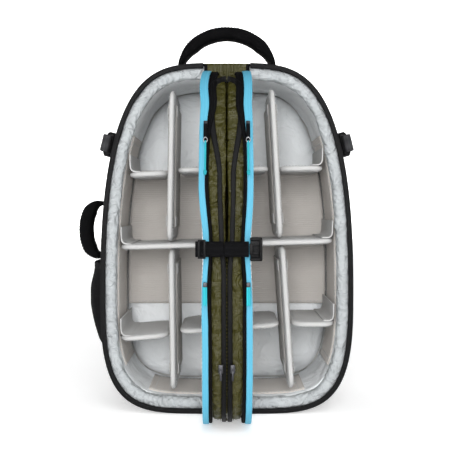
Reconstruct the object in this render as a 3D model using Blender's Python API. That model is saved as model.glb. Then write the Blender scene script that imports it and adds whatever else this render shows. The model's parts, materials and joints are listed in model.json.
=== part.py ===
"""Wing-fronted camera backpack, standing upright with both front wings open.

Metres, +Z up.  The front faces -Y, and the origin is the middle of the flat underside.
Every sub-part is one closed solid; a moving one has its origin on its joint's axis.
"""
import math

import bmesh
import bpy
from mathutils import Vector

GAP = 0.0003                     # clearance between pieces that touch

# Shell: an egg-shaped ring, widest low down, open towards the front.
SHELL_HALF_WIDTH = 0.182
SHELL_TOP = 0.504
WIDEST_Z = 0.170
FLAT_LIFT = 0.002                # outline points lower than this lie on the flat underside
FRONT_Y = -0.090
BACK_Y = 0.090
BACK_PANEL = 0.0074
FRAME_SHEET = 0.0020
SHELL_SKIN = 0.003
RIM_TAPE = 0.0075                # width of the black zip tape around the opening
RIM_DEPTH = 0.0035
RIM_INNER = 0.0225               # how far the soft rim reaches in from the outline
WALL_INNER = 0.019               # inner face of the padded wall
LINING_BACK = 0.022

# Wings: half lids hinged on the edges of a flat spine.
SPINE_HALF = 0.0318
HINGE_X = 0.0325
HINGE_Y = FRONT_Y - 0.0005
WING_HALF_WIDTH = 0.175
WING_TOP = 0.489
WING_BOTTOM = 0.002
WING_TAPE = 0.0025
PANEL_FACES = (0.0003, 0.0115)   # distances from the wing's lining face
POCKET_FACES = (0.0118, 0.0290)
POCKET_ZIP_FACES = (0.0215, 0.0285)
POCKET_INSET = 0.006
POCKET_ZIP_INSET = 0.003

# Hold strap across both wings' free edges.
STRAP_Z = 0.2465
STRAP_WIDTH = 0.020
STRAP_Y = -0.2440
STRAP_THICK = 0.0015
STRAP_PIVOT_X = -0.0035
STRAP_PIVOT_Y = STRAP_Y - 0.0008
WING_EDGE_Y = -0.2332            # just in front of the wings' widest edge

# Zip sliders and pulls.
SLIDER_FACES = (0.0010, 0.0100)
SLIDER_THICK = 0.0032
SLIDER_LENGTH = 0.011
SLIDER_CLEAR = 0.0005
PULL_WIDTH = 0.0050
PULL_THICK = 0.0014
PULL_LENGTH = 0.024
PULL_CLEAR = 0.0008
UPPER_SLIDER_Z = 0.408
LOWER_SLIDER_Z = 0.205
POCKET_SLIDER_Z = 0.090
CORD_RADIUS = 0.0012
CORD_LENGTH = 0.045

# Dividers stand between the soft rim and the back lining.
DIVIDER_THICK = 0.008
DIVIDER_FRONT = -0.080
FLAP_HEIGHT = 0.026
FLAP_THICK = 0.002
RIM_CLEAR = RIM_INNER + 0.001
LONG_Z = 0.2445
LONG_SLOPE = 0.030

# Carrying handles.
TOP_HANDLE_Y = 0.020
TOP_HANDLE_Z = 0.5085
TOP_HANDLE_HALF = 0.074
TOP_HANDLE_RISE = 0.060
SIDE_HANDLE_Y = -0.020
SIDE_HANDLE_X = -0.1875
SIDE_HANDLE_Z = 0.264
SIDE_HANDLE_HALF = 0.040
SIDE_HANDLE_RISE = 0.026
GRIP_HALF_THICK = 0.0095
GRIP_HALF_WIDTH = 0.014
GRIP_END_THICK = 0.0035
GRIP_END_WIDTH = 0.0030

# Side pocket on the left wall.
POCKET_HALF_DEPTH = 0.056
POCKET_LOW = 0.072
POCKET_HIGH = 0.212
POCKET_BULGE = 0.028
POCKET_SKIN = 0.0025

# Side compression straps.
SIDE_STRAP_Z = 0.388
SIDE_STRAP_WIDTH = 0.020
SIDE_STRAP_THICK = 0.0018
SIDE_STRAP_HALF = 0.070
SIDE_BUCKLE_THICK = 0.011
SIDE_BUCKLE_Y = (-0.066, -0.022)

# Harness on the back.
SHOULDER_X = 0.078
SHOULDER_HALF_WIDTH = 0.030
SHOULDER_HALF_THICK = 0.006
SHOULDER_TOP = 0.465
SHOULDER_LOW = 0.145
SHOULDER_BACK = BACK_Y + 0.0085
SHOULDER_BULGE = 0.034
PAD_THICK = 0.010
STERNUM_Z = 0.350
STERNUM_Y = 0.1405
STERNUM_THICK = 0.003

SIDES = {"left": -1.0, "right": 1.0}


def clear_scene():
    """Take every object out of the scene."""
    for item in list(bpy.data.objects):
        bpy.data.objects.remove(item, do_unlink=True)


def make_material(name, colour, roughness, metallic=0.0):
    """A Principled material of one colour."""
    material = bpy.data.materials.new(name)
    material.use_nodes = True
    shader = material.node_tree.nodes["Principled BSDF"]
    shader.inputs["Base Color"].default_value = (*colour, 1.0)
    shader.inputs["Roughness"].default_value = roughness
    shader.inputs["Metallic"].default_value = metallic
    return material


COLOURS = {
    "black_nylon": ((0.020, 0.020, 0.023), 0.75, 0.0),
    "black_webbing": ((0.014, 0.014, 0.016), 0.80, 0.0),
    "black_plastic": ((0.018, 0.018, 0.020), 0.45, 0.0),
    "lining_grey": ((0.560, 0.575, 0.600), 0.70, 0.0),
    "loop_beige": ((0.450, 0.415, 0.375), 0.95, 0.0),
    "divider_grey": ((0.610, 0.600, 0.590), 0.85, 0.0),
    "olive_nylon": ((0.085, 0.082, 0.030), 0.70, 0.0),
    "zip_blue": ((0.120, 0.610, 0.880), 0.60, 0.0),
    "cord_blue": ((0.050, 0.400, 0.520), 0.70, 0.0),
    "slider_metal": ((0.090, 0.090, 0.095), 0.35, 1.0),
    "sheet_white": ((0.700, 0.700, 0.690), 0.50, 0.0),
}


def half_width(z, widest=SHELL_HALF_WIDTH, bottom=0.0, top=SHELL_TOP):
    """Half width of the egg outline at the height z."""
    if z >= WIDEST_Z:
        rise = min((z - WIDEST_Z) / (top - WIDEST_Z), 1.0)
        return widest * (1.0 - rise ** 2.4) ** 0.25
    drop = min((WIDEST_Z - z) / (WIDEST_Z - bottom), 1.0)
    return widest * (1.0 - drop ** 3) ** 0.2


def right_half(widest, bottom, top, steps=12):
    """(x, z) points of the outline's right half, from the bottom middle to the top middle."""
    points = []
    for step in range(steps):
        angle = math.pi / 2 * (1.0 - step / steps)
        z = WIDEST_Z - (WIDEST_Z - bottom) * math.sin(angle) ** (2 / 3)
        x = widest * max(math.cos(angle), 0.0) ** 0.4 if step else 0.0
        points.append((x, bottom if z - bottom < FLAT_LIFT else z))
    for step in range(steps + 1):
        angle = math.pi / 2 * step / steps
        x = widest * max(math.cos(angle), 0.0) ** 0.5 if step < steps else 0.0
        points.append((x, WIDEST_Z + (top - WIDEST_Z) * math.sin(angle) ** (1 / 1.2)))
    return points


def outline(inset=0.0, widest=SHELL_HALF_WIDTH, bottom=0.0, top=SHELL_TOP):
    """Whole egg outline as an (x, z) loop, each point moved inwards by inset."""
    right = right_half(widest, bottom, top)
    loop = right + [(-x, z) for x, z in reversed(right[1:-1])]
    moved = []
    for index, point in enumerate(loop):
        here = Vector(point)
        before = (here - Vector(loop[index - 1])).normalized()
        after = (Vector(loop[(index + 1) % len(loop)]) - here).normalized()
        along = (before + after).normalized()
        inwards = Vector((-along.y, along.x))
        moved.append(tuple(here + inwards * inset / max(along.dot(after), 0.5)))
    return moved


def right_curve(x_min, inset, widest=SHELL_HALF_WIDTH, bottom=0.0, top=SHELL_TOP):
    """The outline's right half cut off at x_min, from the lower cut to the upper one."""
    loop = outline(inset, widest, bottom, top)
    half = loop[:len(loop) // 2 + 1]
    curve = []
    for (x0, z0), (x1, z1) in zip(half, half[1:]):
        if (x0 - x_min) * (x1 - x_min) < 0:
            share = (x_min - x0) / (x1 - x0)
            curve.append((x_min, z0 + share * (z1 - z0)))
        if x1 > x_min:
            curve.append((x1, z1))
    return sorted_curve(curve, x_min)


def sorted_curve(curve, x_min):
    """Keep the cut points at the two ends of the curve."""
    cuts = sorted((p for p in curve if abs(p[0] - x_min) < 1e-9), key=lambda p: p[1])
    inner = [p for p in curve if abs(p[0] - x_min) >= 1e-9]
    return [cuts[0]] + inner + [cuts[-1]]


def finish(name, shape, material, pivot=(0.0, 0.0, 0.0), smooth=False):
    """Turn a bmesh in world coordinates into an object whose origin is the pivot."""
    bmesh.ops.recalc_face_normals(shape, faces=shape.faces[:])
    bmesh.ops.translate(shape, verts=shape.verts[:], vec=-Vector(pivot))
    mesh = bpy.data.meshes.new(name)
    shape.to_mesh(mesh)
    shape.free()
    if smooth:
        mesh.shade_smooth()
        mesh.set_sharp_from_angle(angle=math.radians(40))
    mesh.materials.append(MATERIALS[material])
    item = bpy.data.objects.new(name, mesh)
    item.location = pivot
    bpy.context.collection.objects.link(item)
    return item


def placed(point, axis, depth):
    """A 2D point and a depth along the axis, as a 3D point."""
    first, second = point
    if axis == "X":
        return (depth, first, second)
    if axis == "Y":
        return (first, depth, second)
    return (first, second, depth)


def prism(name, loop, axis, start, end, material, pivot=(0.0, 0.0, 0.0)):
    """A flat loop extruded along one axis."""
    shape = bmesh.new()
    face = shape.faces.new([shape.verts.new(placed(p, axis, start)) for p in loop])
    pushed = bmesh.ops.extrude_face_region(shape, geom=[face])
    moved = [v for v in pushed["geom"] if isinstance(v, bmesh.types.BMVert)]
    bmesh.ops.translate(shape, verts=moved, vec=placed((0.0, 0.0), axis, end - start))
    return finish(name, shape, material, pivot)


def box(name, low, high, material, pivot=(0.0, 0.0, 0.0)):
    """A box between two corners."""
    loop = [(low[0], low[1]), (high[0], low[1]), (high[0], high[1]), (low[0], high[1])]
    return prism(name, loop, "Z", low[2], high[2], material, pivot)


def ring(name, outer, inner, start, end, material):
    """A frame between two loops with the same number of points, extruded along Y."""
    shape = bmesh.new()
    rows = []
    for loop, depth in ((outer, start), (inner, start), (inner, end), (outer, end)):
        rows.append([shape.verts.new(placed(p, "Y", depth)) for p in loop])
    count = len(outer)
    for row, following in zip(rows, rows[1:] + rows[:1]):
        for index in range(count):
            after = (index + 1) % count
            shape.faces.new((row[index], row[after], following[after], following[index]))
    return finish(name, shape, material, smooth=True)


def band(name, path, frame, sizes, material, pivot=(0.0, 0.0, 0.0)):
    """A flat bar along a path.

    frame gives the direction of the bar's width; sizes holds the (half thickness,
    half width) at each point of the path.
    """
    wide = Vector(frame)
    points = [Vector(p) for p in path]
    shape = bmesh.new()
    sections = []
    for index, (point, (thick, width)) in enumerate(zip(points, sizes)):
        before = points[max(index - 1, 0)]
        after = points[min(index + 1, len(points) - 1)]
        across = (after - before).normalized().cross(wide).normalized()
        corners = ((1, 1), (1, -1), (-1, -1), (-1, 1))
        sections.append([shape.verts.new(point + across * thick * a + wide * width * b)
                         for a, b in corners])
    for here, following in zip(sections, sections[1:]):
        for index in range(4):
            after = (index + 1) % 4
            shape.faces.new((here[index], here[after], following[after], following[index]))
    shape.faces.new(sections[0])
    shape.faces.new(list(reversed(sections[-1])))
    return finish(name, shape, material, pivot, smooth=True)


def soften(item, width, segments=2):
    """Round a solid's edges."""
    bevel = item.modifiers.new("soft_edges", "BEVEL")
    bevel.width = width
    bevel.segments = segments
    bevel.limit_method = "ANGLE"
    bevel.angle_limit = math.radians(50)
    return item


def build_shell():
    """Outer skin, padded lining, stiffener and the rim round the opening."""
    rim_back = FRONT_Y + RIM_DEPTH
    panel_front = BACK_Y - BACK_PANEL
    sheet_front = panel_front - GAP - FRAME_SHEET
    roll_back = FRONT_Y + 0.024
    lining_end = sheet_front - GAP
    outer = outline()
    ring("shell_wall", outer, outline(SHELL_SKIN), rim_back + GAP, panel_front - GAP, "black_nylon")
    prism("back_panel", outer, "Y", panel_front, BACK_Y, "black_nylon")
    prism("frame_sheet", outline(SHELL_SKIN + 2 * GAP), "Y", sheet_front, sheet_front + FRAME_SHEET,
          "sheet_white")
    ring("lining_wall", outline(SHELL_SKIN + GAP), outline(WALL_INNER), roll_back + GAP, lining_end,
         "loop_beige")
    prism("back_lining", outline(WALL_INNER + GAP), "Y", lining_end - LINING_BACK, lining_end,
          "loop_beige")
    ring("rim_roll", outline(SHELL_SKIN + GAP), outline(RIM_INNER), rim_back + GAP, roll_back,
         "lining_grey")
    for side, sign in SIDES.items():
        tape = right_curve(SPINE_HALF + GAP, 0.0)
        tape += list(reversed(right_curve(SPINE_HALF + GAP, RIM_TAPE)))
        loop = [(sign * x, z) for x, z in tape]
        prism(f"rim_zip_{side}", loop, "Y", FRONT_Y, rim_back, "black_webbing")
    top = SHELL_TOP - 0.0008
    loop = [(-SPINE_HALF, 0.0), (SPINE_HALF, 0.0), (SPINE_HALF, top), (-SPINE_HALF, top)]
    prism("spine", loop, "Y", FRONT_Y, rim_back, "olive_nylon")


def wing_curve(inset):
    """(y, z) points along an open wing's free edge."""
    curve = right_curve(HINGE_X + GAP, inset, WING_HALF_WIDTH, WING_BOTTOM, WING_TOP)
    return [(HINGE_Y - (x - HINGE_X), z) for x, z in curve]


def wing_slab(name, side, loop, faces, material):
    """A flat piece of a wing between two distances from its lining face."""
    sign = SIDES[side]
    start, end = (sign * (HINGE_X - face) for face in faces)
    return prism(name, loop, "X", start, end, material, (sign * HINGE_X, HINGE_Y, 0.0))


def build_wing(side):
    """Padded panel, pocket and the two zip tapes round the free edge of one wing."""
    edge = wing_curve(0.0)
    panel = wing_curve(WING_TAPE + GAP)
    wing_slab(f"wing_panel_{side}", side, panel, PANEL_FACES, "lining_grey")
    tape_faces = (PANEL_FACES[0], PANEL_FACES[1] - 0.0005)
    wing_slab(f"wing_zip_{side}", side, edge + wing_curve(WING_TAPE)[::-1], tape_faces, "zip_blue")
    pocket = wing_curve(POCKET_INSET)
    wing_slab(f"wing_pocket_{side}", side, pocket, POCKET_FACES, "olive_nylon")
    zip_loop = wing_curve(POCKET_ZIP_INSET) + wing_curve(POCKET_INSET - GAP)[::-1]
    wing_slab(f"pocket_zip_{side}", side, zip_loop, POCKET_ZIP_FACES, "black_webbing")


def edge_frame(z, inset=0.0):
    """Point, downward tangent and outward normal of a wing's free edge at the height z."""
    def edge(height):
        reach = half_width(height, WING_HALF_WIDTH, WING_BOTTOM, WING_TOP) - inset
        return Vector((0.0, HINGE_Y - (reach - HINGE_X), height))
    down = (edge(z - 0.001) - edge(z + 0.001)).normalized()
    return edge(z), down, Vector((0.0, down.z, -down.y))


def slab_along(name, centre_x, half, start, down, out, length, near, far, material, pivot):
    """A small plate lying on a wing's free edge, from start along down."""
    loop = [start + out * near, start + out * far, start + down * length + out * far,
            start + down * length + out * near]
    return prism(name, [(p.y, p.z) for p in loop], "X", centre_x - half, centre_x + half, material,
                 pivot)


def build_slider(level, side, z, straight):
    """A zip slider with its hinged pull; straight keeps it upright beside the widest edge."""
    sign = SIDES[side]
    point, down, out = edge_frame(z)
    if straight:
        point = Vector((0.0, HINGE_Y - (WING_HALF_WIDTH - HINGE_X), z))
        down = Vector((0.0, 0.0, -1.0))
        out = Vector((0.0, -1.0, 0.0))
    centre = sign * (HINGE_X - sum(SLIDER_FACES) / 2)
    half = (SLIDER_FACES[1] - SLIDER_FACES[0]) / 2
    far = SLIDER_CLEAR + SLIDER_THICK
    name = f"{level}_{side}"
    slab_along(f"zip_slider_{name}", centre, half, point, down, out, SLIDER_LENGTH, SLIDER_CLEAR,
               far, "slider_metal", (centre, point.y, point.z))
    near = far + PULL_CLEAR
    hook = point + down * SLIDER_LENGTH / 2
    pivot = hook + out * (near + PULL_THICK / 2)
    slab_along(f"zip_pull_{name}", centre, PULL_WIDTH / 2, hook, down, out, PULL_LENGTH, near,
               near + PULL_THICK, "black_webbing", (centre, pivot.y, pivot.z))
    if straight:
        return
    start = pivot + down * (PULL_LENGTH + GAP)
    build_cord(f"pull_cord_{side}", centre, start, down, pivot)


def build_cord(name, centre, start, down, pivot):
    """A short round cord hanging from the end of a pull."""
    curve = bpy.data.curves.new(name, "CURVE")
    curve.dimensions = "3D"
    curve.bevel_depth = CORD_RADIUS
    curve.bevel_resolution = 2
    curve.use_fill_caps = True
    count = 9
    spline = curve.splines.new("POLY")
    spline.points.add(count - 1)
    for index, knot in enumerate(spline.points):
        share = index / (count - 1)
        run = start + down * CORD_LENGTH * share - Vector((0.0, 0.004 * share * share, 0.0))
        offset = Vector((centre, run.y, run.z)) - Vector((centre, pivot.y, pivot.z))
        knot.co = (*offset, 1.0)
    curve.materials.append(MATERIALS["cord_blue"])
    item = bpy.data.objects.new(name, curve)
    item.location = (centre, pivot.y, pivot.z)
    bpy.context.collection.objects.link(item)


def build_pocket_slider(side):
    """The slider of a wing pocket's zip, parked low on the free edge."""
    sign = SIDES[side]
    y = HINGE_Y - (WING_HALF_WIDTH - POCKET_ZIP_INSET - HINGE_X)
    low, high = (sign * (HINGE_X - face) for face in (0.0280, 0.0220))
    corner = (min(low, high), y - SLIDER_CLEAR - SLIDER_THICK, POCKET_SLIDER_Z)
    far = (max(low, high), y - SLIDER_CLEAR, POCKET_SLIDER_Z + SLIDER_LENGTH)
    box(f"pocket_slider_{side}", corner, far, "slider_metal", ((low + high) / 2, y, POCKET_SLIDER_Z))


def build_hold_strap():
    """Webbing across the wings' edges: sewn left part, swinging part, tongue and cradle."""
    z0 = STRAP_Z - STRAP_WIDTH / 2
    z1 = STRAP_Z + STRAP_WIDTH / 2
    back = STRAP_Y + STRAP_THICK
    left_hinge = (-HINGE_X, HINGE_Y, 0.0)
    right_hinge = (HINGE_X, HINGE_Y, 0.0)
    pivot = (STRAP_PIVOT_X, STRAP_PIVOT_Y, STRAP_Z)
    anchor = [(-0.0400, STRAP_Y), (-0.0040, STRAP_Y), (-0.0040, back), (-0.0240, back),
              (-0.0240, WING_EDGE_Y), (-0.0300, WING_EDGE_Y), (-0.0300, back), (-0.0400, back)]
    prism("strap_anchor", anchor, "Z", z0, z1, "black_webbing", left_hinge)
    box("hold_strap", (-0.0030, STRAP_Y, z0), (0.0275, back, z1), "black_webbing", pivot)
    tongue_y = (STRAP_Y - 0.0010, back + 0.0011)
    box("buckle_tongue", (0.0278, tongue_y[0], z0 + 0.003), (0.0400, tongue_y[1], z1 - 0.003),
        "black_plastic", pivot)
    plate = tongue_y[1] + GAP
    outer = plate + 0.0013
    front = tongue_y[0] - 0.0010
    inner0 = z0 + 0.003 - GAP
    inner1 = z1 - 0.003 + GAP
    loop = [(front, z0 - 0.001), (outer, z0 - 0.001), (outer, z1 + 0.001), (front, z1 + 0.001),
            (front, inner1), (plate, inner1), (plate, inner0), (front, inner0)]
    cradle = prism("buckle_cradle", loop, "X", 0.0285, 0.0440, "black_plastic", right_hinge)
    stem_low = (0.0285, outer - 0.0004, STRAP_Z - 0.006)
    stem_high = (0.0315, WING_EDGE_Y, STRAP_Z + 0.006)
    stem = box("cradle_stem_guide", stem_low, stem_high, "black_plastic")
    stem.hide_render = True
    stem.display_type = "WIRE"
    join = cradle.modifiers.new("stem", "BOOLEAN")
    join.operation = "UNION"
    join.object = stem


def arch(half_span, rise, steps=16):
    """(along, up) points of a flat-topped arch that starts and ends at zero height."""
    points = []
    for step in range(steps + 1):
        angle = math.pi * step / steps
        along = math.copysign(abs(math.cos(angle)) ** 0.8, -math.cos(angle)) * half_span
        points.append((along, rise * max(math.sin(angle), 0.0) ** 0.6))
    return points


def grip_sizes(count):
    """Half thickness and half width along a handle: thin at both ends, padded between."""
    sizes = []
    for index in range(count):
        share = min(index, count - 1 - index) / (count - 1)
        full = min(share / 0.22, 1.0) ** 1.5
        sizes.append((GRIP_END_THICK + (GRIP_HALF_THICK - GRIP_END_THICK) * full,
                      GRIP_END_WIDTH + (GRIP_HALF_WIDTH - GRIP_END_WIDTH) * full))
    return sizes


def build_handles():
    """Padded top handle and padded left side handle."""
    top = arch(TOP_HANDLE_HALF, TOP_HANDLE_RISE)
    path = [(along, TOP_HANDLE_Y, TOP_HANDLE_Z + up) for along, up in top]
    band("top_handle", path, (0, 1, 0), grip_sizes(len(path)), "black_webbing",
         (0.0, TOP_HANDLE_Y, TOP_HANDLE_Z))
    side = arch(SIDE_HANDLE_HALF, SIDE_HANDLE_RISE)
    path = [(SIDE_HANDLE_X - up, SIDE_HANDLE_Y, SIDE_HANDLE_Z + along) for along, up in side]
    band("side_handle", path, (0, 1, 0), grip_sizes(len(path)), "black_webbing",
         (SIDE_HANDLE_X, SIDE_HANDLE_Y, SIDE_HANDLE_Z))


def build_side_pocket():
    """An open-topped stretch pocket on the left wall."""
    wall = -SHELL_HALF_WIDTH - GAP
    outer = [(wall, -POCKET_HALF_DEPTH), (wall, POCKET_HALF_DEPTH)]
    outer += [(wall - 0.012, POCKET_HALF_DEPTH - 0.004), (wall - POCKET_BULGE, 0.028)]
    outer += [(wall - POCKET_BULGE, -0.028), (wall - 0.012, 0.004 - POCKET_HALF_DEPTH)]
    pocket = prism("side_pocket", outer, "Z", POCKET_LOW, POCKET_HIGH, "black_nylon")
    depth = POCKET_HALF_DEPTH - 1.6 * POCKET_SKIN
    reach = wall - POCKET_BULGE + POCKET_SKIN
    inner = [(wall + 0.01, -depth), (wall + 0.01, depth), (wall - 0.0105, depth - 0.004)]
    inner += [(reach, 0.027), (reach, -0.027), (wall - 0.0105, 0.004 - depth)]
    hollow = prism("side_pocket_hollow", inner, "Z", POCKET_LOW + POCKET_SKIN, POCKET_HIGH + 0.02,
                   "black_nylon")
    hollow.hide_render = True
    hollow.display_type = "WIRE"
    cut = pocket.modifiers.new("hollow", "BOOLEAN")
    cut.operation = "DIFFERENCE"
    cut.object = hollow


def build_compression(side):
    """Webbing and buckle across one upper side wall."""
    sign = SIDES[side]
    low = half_width(SIDE_STRAP_Z - 0.013)
    high = half_width(SIDE_STRAP_Z + 0.013)
    lean = math.atan2(low - high, 0.026)
    out = Vector((math.cos(lean), math.sin(lean)))
    up = Vector((-math.sin(lean), math.cos(lean)))
    middle = Vector((half_width(SIDE_STRAP_Z), SIDE_STRAP_Z)) + out * 0.0010

    def plate(name, near, far, half_height, y0, y1, material):
        loop = [middle + out * a + up * b for a, b in ((near, -half_height), (far, -half_height),
                                                      (far, half_height), (near, half_height))]
        return prism(name, [(sign * p.x, p.y) for p in loop], "Y", y0, y1, material)

    plate(f"compression_strap_{side}", 0.0, SIDE_STRAP_THICK, SIDE_STRAP_WIDTH / 2,
          -SIDE_STRAP_HALF, SIDE_STRAP_HALF, "black_webbing")
    near = SIDE_STRAP_THICK + GAP
    buckle = plate(f"compression_buckle_{side}", near, near + SIDE_BUCKLE_THICK, 0.013,
                   *SIDE_BUCKLE_Y, "black_plastic")
    soften(buckle, 0.0025, 1)


def build_upright(name, foot, head):
    """A divider standing between two (x, z) points."""
    half = DIVIDER_THICK / 2
    loop = [(foot[0] - half, foot[1]), (foot[0] + half, foot[1]), (head[0] + half, head[1]),
            (head[0] - half, head[1])]
    pivot = ((foot[0] + head[0]) / 2, DIVIDER_FRONT, (foot[1] + head[1]) / 2)
    prism(name, loop, "Y", DIVIDER_FRONT, divider_back(), "divider_grey", pivot)


def divider_back():
    """Where every divider ends, just short of the back lining."""
    return BACK_Y - BACK_PANEL - FRAME_SHEET - 2 * GAP - LINING_BACK - GAP


def build_shelf(name, start, end, flaps):
    """A lying divider between two (x, z) points, with flaps turned up at the named ends."""
    half = DIVIDER_THICK / 2
    (x0, z0), (x1, z1) = start, end
    loop = [(x0, z0 - half), (x1, z1 - half)]
    if "right" in flaps:
        loop += [(x1, z1 + half + FLAP_HEIGHT), (x1 - FLAP_THICK, z1 + half + FLAP_HEIGHT),
                 (x1 - FLAP_THICK, z1 + half)]
    else:
        loop += [(x1, z1 + half)]
    if "left" in flaps:
        loop += [(x0 + FLAP_THICK, z0 + half), (x0 + FLAP_THICK, z0 + half + FLAP_HEIGHT),
                 (x0, z0 + half + FLAP_HEIGHT)]
    else:
        loop += [(x0, z0 + half)]
    pivot = ((x0 + x1) / 2, DIVIDER_FRONT, (z0 + z1) / 2)
    prism(name, loop, "Y", DIVIDER_FRONT, divider_back(), "divider_grey", pivot)


def rim_reach(z):
    """How far a divider may reach sideways at the height z and still slide past the rim."""
    return min(half_width(z), half_width(z + FLAP_HEIGHT)) - RIM_CLEAR - 0.001


def build_dividers():
    """Four uprights, one long divider across the middle and three shelves in rows 1 and 3."""
    build_upright("divider_upper_left", (-0.083, 0.2480), (-0.079, 0.468))
    build_upright("divider_upper_right", (0.0775, 0.2530), (0.0650, 0.470))
    build_upright("divider_lower_left", (-0.0780, 0.030), (-0.0805, 0.2360))
    build_upright("divider_lower_right", (0.0945, 0.032), (0.0805, 0.2410))
    reach = rim_reach(LONG_Z)
    build_shelf("long_divider", (-reach, LONG_Z - LONG_SLOPE * reach),
                (reach, LONG_Z + LONG_SLOPE * reach), ("left", "right"))
    build_shelf("shelf_upper_left", (-rim_reach(0.348), 0.345), (-0.0865, 0.348), ("left",))
    build_shelf("shelf_upper_middle", (-0.0745, 0.352), (0.0640, 0.354), ())
    build_shelf("shelf_upper_right", (0.0775, 0.354), (rim_reach(0.355), 0.355), ("right",))
    build_shelf("shelf_lower_left", (-rim_reach(0.108), 0.106), (-0.0850, 0.112), ("left",))
    build_shelf("shelf_lower_middle", (-0.0720, 0.117), (0.0800, 0.127), ())
    build_shelf("shelf_lower_right", (0.0945, 0.128), (rim_reach(0.128), 0.128), ("right",))


def shoulder_path():
    """(y, z) points of a shoulder strap, bowed away from the back."""
    points = []
    steps = 14
    for step in range(steps + 1):
        share = step / steps
        bow = SHOULDER_BULGE * math.sin(math.pi * share) ** 0.6 if 0 < step < steps else 0.0
        points.append((SHOULDER_BACK + bow, SHOULDER_TOP - (SHOULDER_TOP - SHOULDER_LOW) * share))
    return points


def build_harness():
    """Shoulder straps with adjusters and webbing, pads and the sternum strap."""
    for side, sign in SIDES.items():
        centre = sign * SHOULDER_X
        path = [(centre, y, z) for y, z in shoulder_path()]
        sizes = [(SHOULDER_HALF_THICK, SHOULDER_HALF_WIDTH)] * len(path)
        band(f"shoulder_strap_{side}", path, (1, 0, 0), sizes, "black_nylon")
        low = SHOULDER_LOW - 0.003
        adjuster = box(f"strap_adjuster_{side}", (centre - 0.016, BACK_Y + 0.003, low - 0.028),
                       (centre + 0.016, BACK_Y + 0.012, low), "black_plastic")
        soften(adjuster, 0.002, 1)
        webbing = [(sign * x, z) for x, z in ((0.076, 0.112), (0.100, 0.112), (0.150, 0.062),
                                               (0.138, 0.050))]
        prism(f"lower_webbing_{side}", webbing, "Y", BACK_Y + GAP, BACK_Y + 0.0022, "black_webbing")
    soften(box("lumbar_pad", (-0.062, BACK_Y + GAP, 0.032), (0.062, BACK_Y + 0.016, 0.098),
               "black_nylon"), 0.006)
    soften(box("back_pad", (-0.100, BACK_Y + GAP, 0.165), (0.100, BACK_Y + PAD_THICK, 0.440),
               "black_nylon"), 0.004)
    half = SHOULDER_X - SHOULDER_HALF_WIDTH + 0.006
    box("sternum_strap", (-half, STERNUM_Y, STERNUM_Z - 0.010),
        (half, STERNUM_Y + STERNUM_THICK, STERNUM_Z + 0.010), "black_webbing",
        (0.0, STERNUM_Y, STERNUM_Z))


def main():
    """Build the whole backpack."""
    build_shell()
    for side in SIDES:
        build_wing(side)
        build_slider("upper", side, UPPER_SLIDER_Z, False)
        build_slider("lower", side, LOWER_SLIDER_Z, True)
        build_pocket_slider(side)
        build_compression(side)
    build_hold_strap()
    build_handles()
    build_side_pocket()
    build_dividers()
    build_harness()


clear_scene()
MATERIALS = {name: make_material(name, *look) for name, look in COLOURS.items()}
main()
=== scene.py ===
"""Looks of a camera backpack that stands upright with its two front half lids folded out.

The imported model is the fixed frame: every piece here takes its place from the frame's boxes,
rides on the frame's bodies and stands for its soft solids.  Metres, +Z up, front facing -Y.
"""

import json
import logging
import math
from dataclasses import dataclass
from enum import Enum
from typing import Callable, Sequence

import bmesh
import bpy
from mathutils import Matrix, Vector, noise

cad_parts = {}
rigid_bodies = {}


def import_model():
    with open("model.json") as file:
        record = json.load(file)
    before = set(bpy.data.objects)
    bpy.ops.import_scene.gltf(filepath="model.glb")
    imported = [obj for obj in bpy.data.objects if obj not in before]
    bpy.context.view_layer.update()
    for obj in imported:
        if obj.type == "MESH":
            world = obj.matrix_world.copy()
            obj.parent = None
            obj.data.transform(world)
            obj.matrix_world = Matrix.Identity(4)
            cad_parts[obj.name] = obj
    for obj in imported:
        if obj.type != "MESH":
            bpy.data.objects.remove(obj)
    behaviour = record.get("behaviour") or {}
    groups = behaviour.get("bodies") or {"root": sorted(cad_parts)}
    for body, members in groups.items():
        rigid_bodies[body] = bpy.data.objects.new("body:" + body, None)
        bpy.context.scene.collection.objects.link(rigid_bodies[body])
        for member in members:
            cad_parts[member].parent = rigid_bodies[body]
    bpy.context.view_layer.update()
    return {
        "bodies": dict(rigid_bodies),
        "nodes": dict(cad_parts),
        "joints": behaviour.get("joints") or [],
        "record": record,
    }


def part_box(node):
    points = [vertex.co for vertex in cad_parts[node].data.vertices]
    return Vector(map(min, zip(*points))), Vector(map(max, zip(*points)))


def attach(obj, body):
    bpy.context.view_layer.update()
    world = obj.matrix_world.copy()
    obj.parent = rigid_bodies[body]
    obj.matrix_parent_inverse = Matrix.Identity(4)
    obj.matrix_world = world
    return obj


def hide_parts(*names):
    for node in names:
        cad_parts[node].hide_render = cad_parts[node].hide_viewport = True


LOG = logging.getLogger("backpack")

Shape = bmesh.types.BMesh
Socket = bpy.types.NodeSocket
Point2 = tuple[float, float]
Place = Callable[[float, float], Vector]
PadPlace = Callable[[Vector, float, float], Vector]
Ripple = Callable[[Vector, float, float], float]
AXIS_X = Vector((1.0, 0.0, 0.0))
AXIS_Y = Vector((0.0, 1.0, 0.0))
AXIS_Z = Vector((0.0, 0.0, 1.0))


class Side(Enum):
    """Left and right as seen from the front."""

    LEFT = -1.0
    RIGHT = 1.0

    @property
    def label(self) -> str:
        """The side's name in node and piece names."""
        return self.name.lower()


class Slot(Enum):
    """Material slots of the record."""

    NYLON = "black_nylon"
    WEBBING = "black_webbing"
    PLASTIC = "black_plastic"
    LINING = "lining_grey"
    LOOP = "loop_beige"
    DIVIDER = "divider_grey"
    OLIVE = "olive_nylon"
    BLUE = "zip_blue"
    CORD = "cord_blue"
    METAL = "slider_metal"


# ---------------------------------------------------------------- finishes


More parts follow.
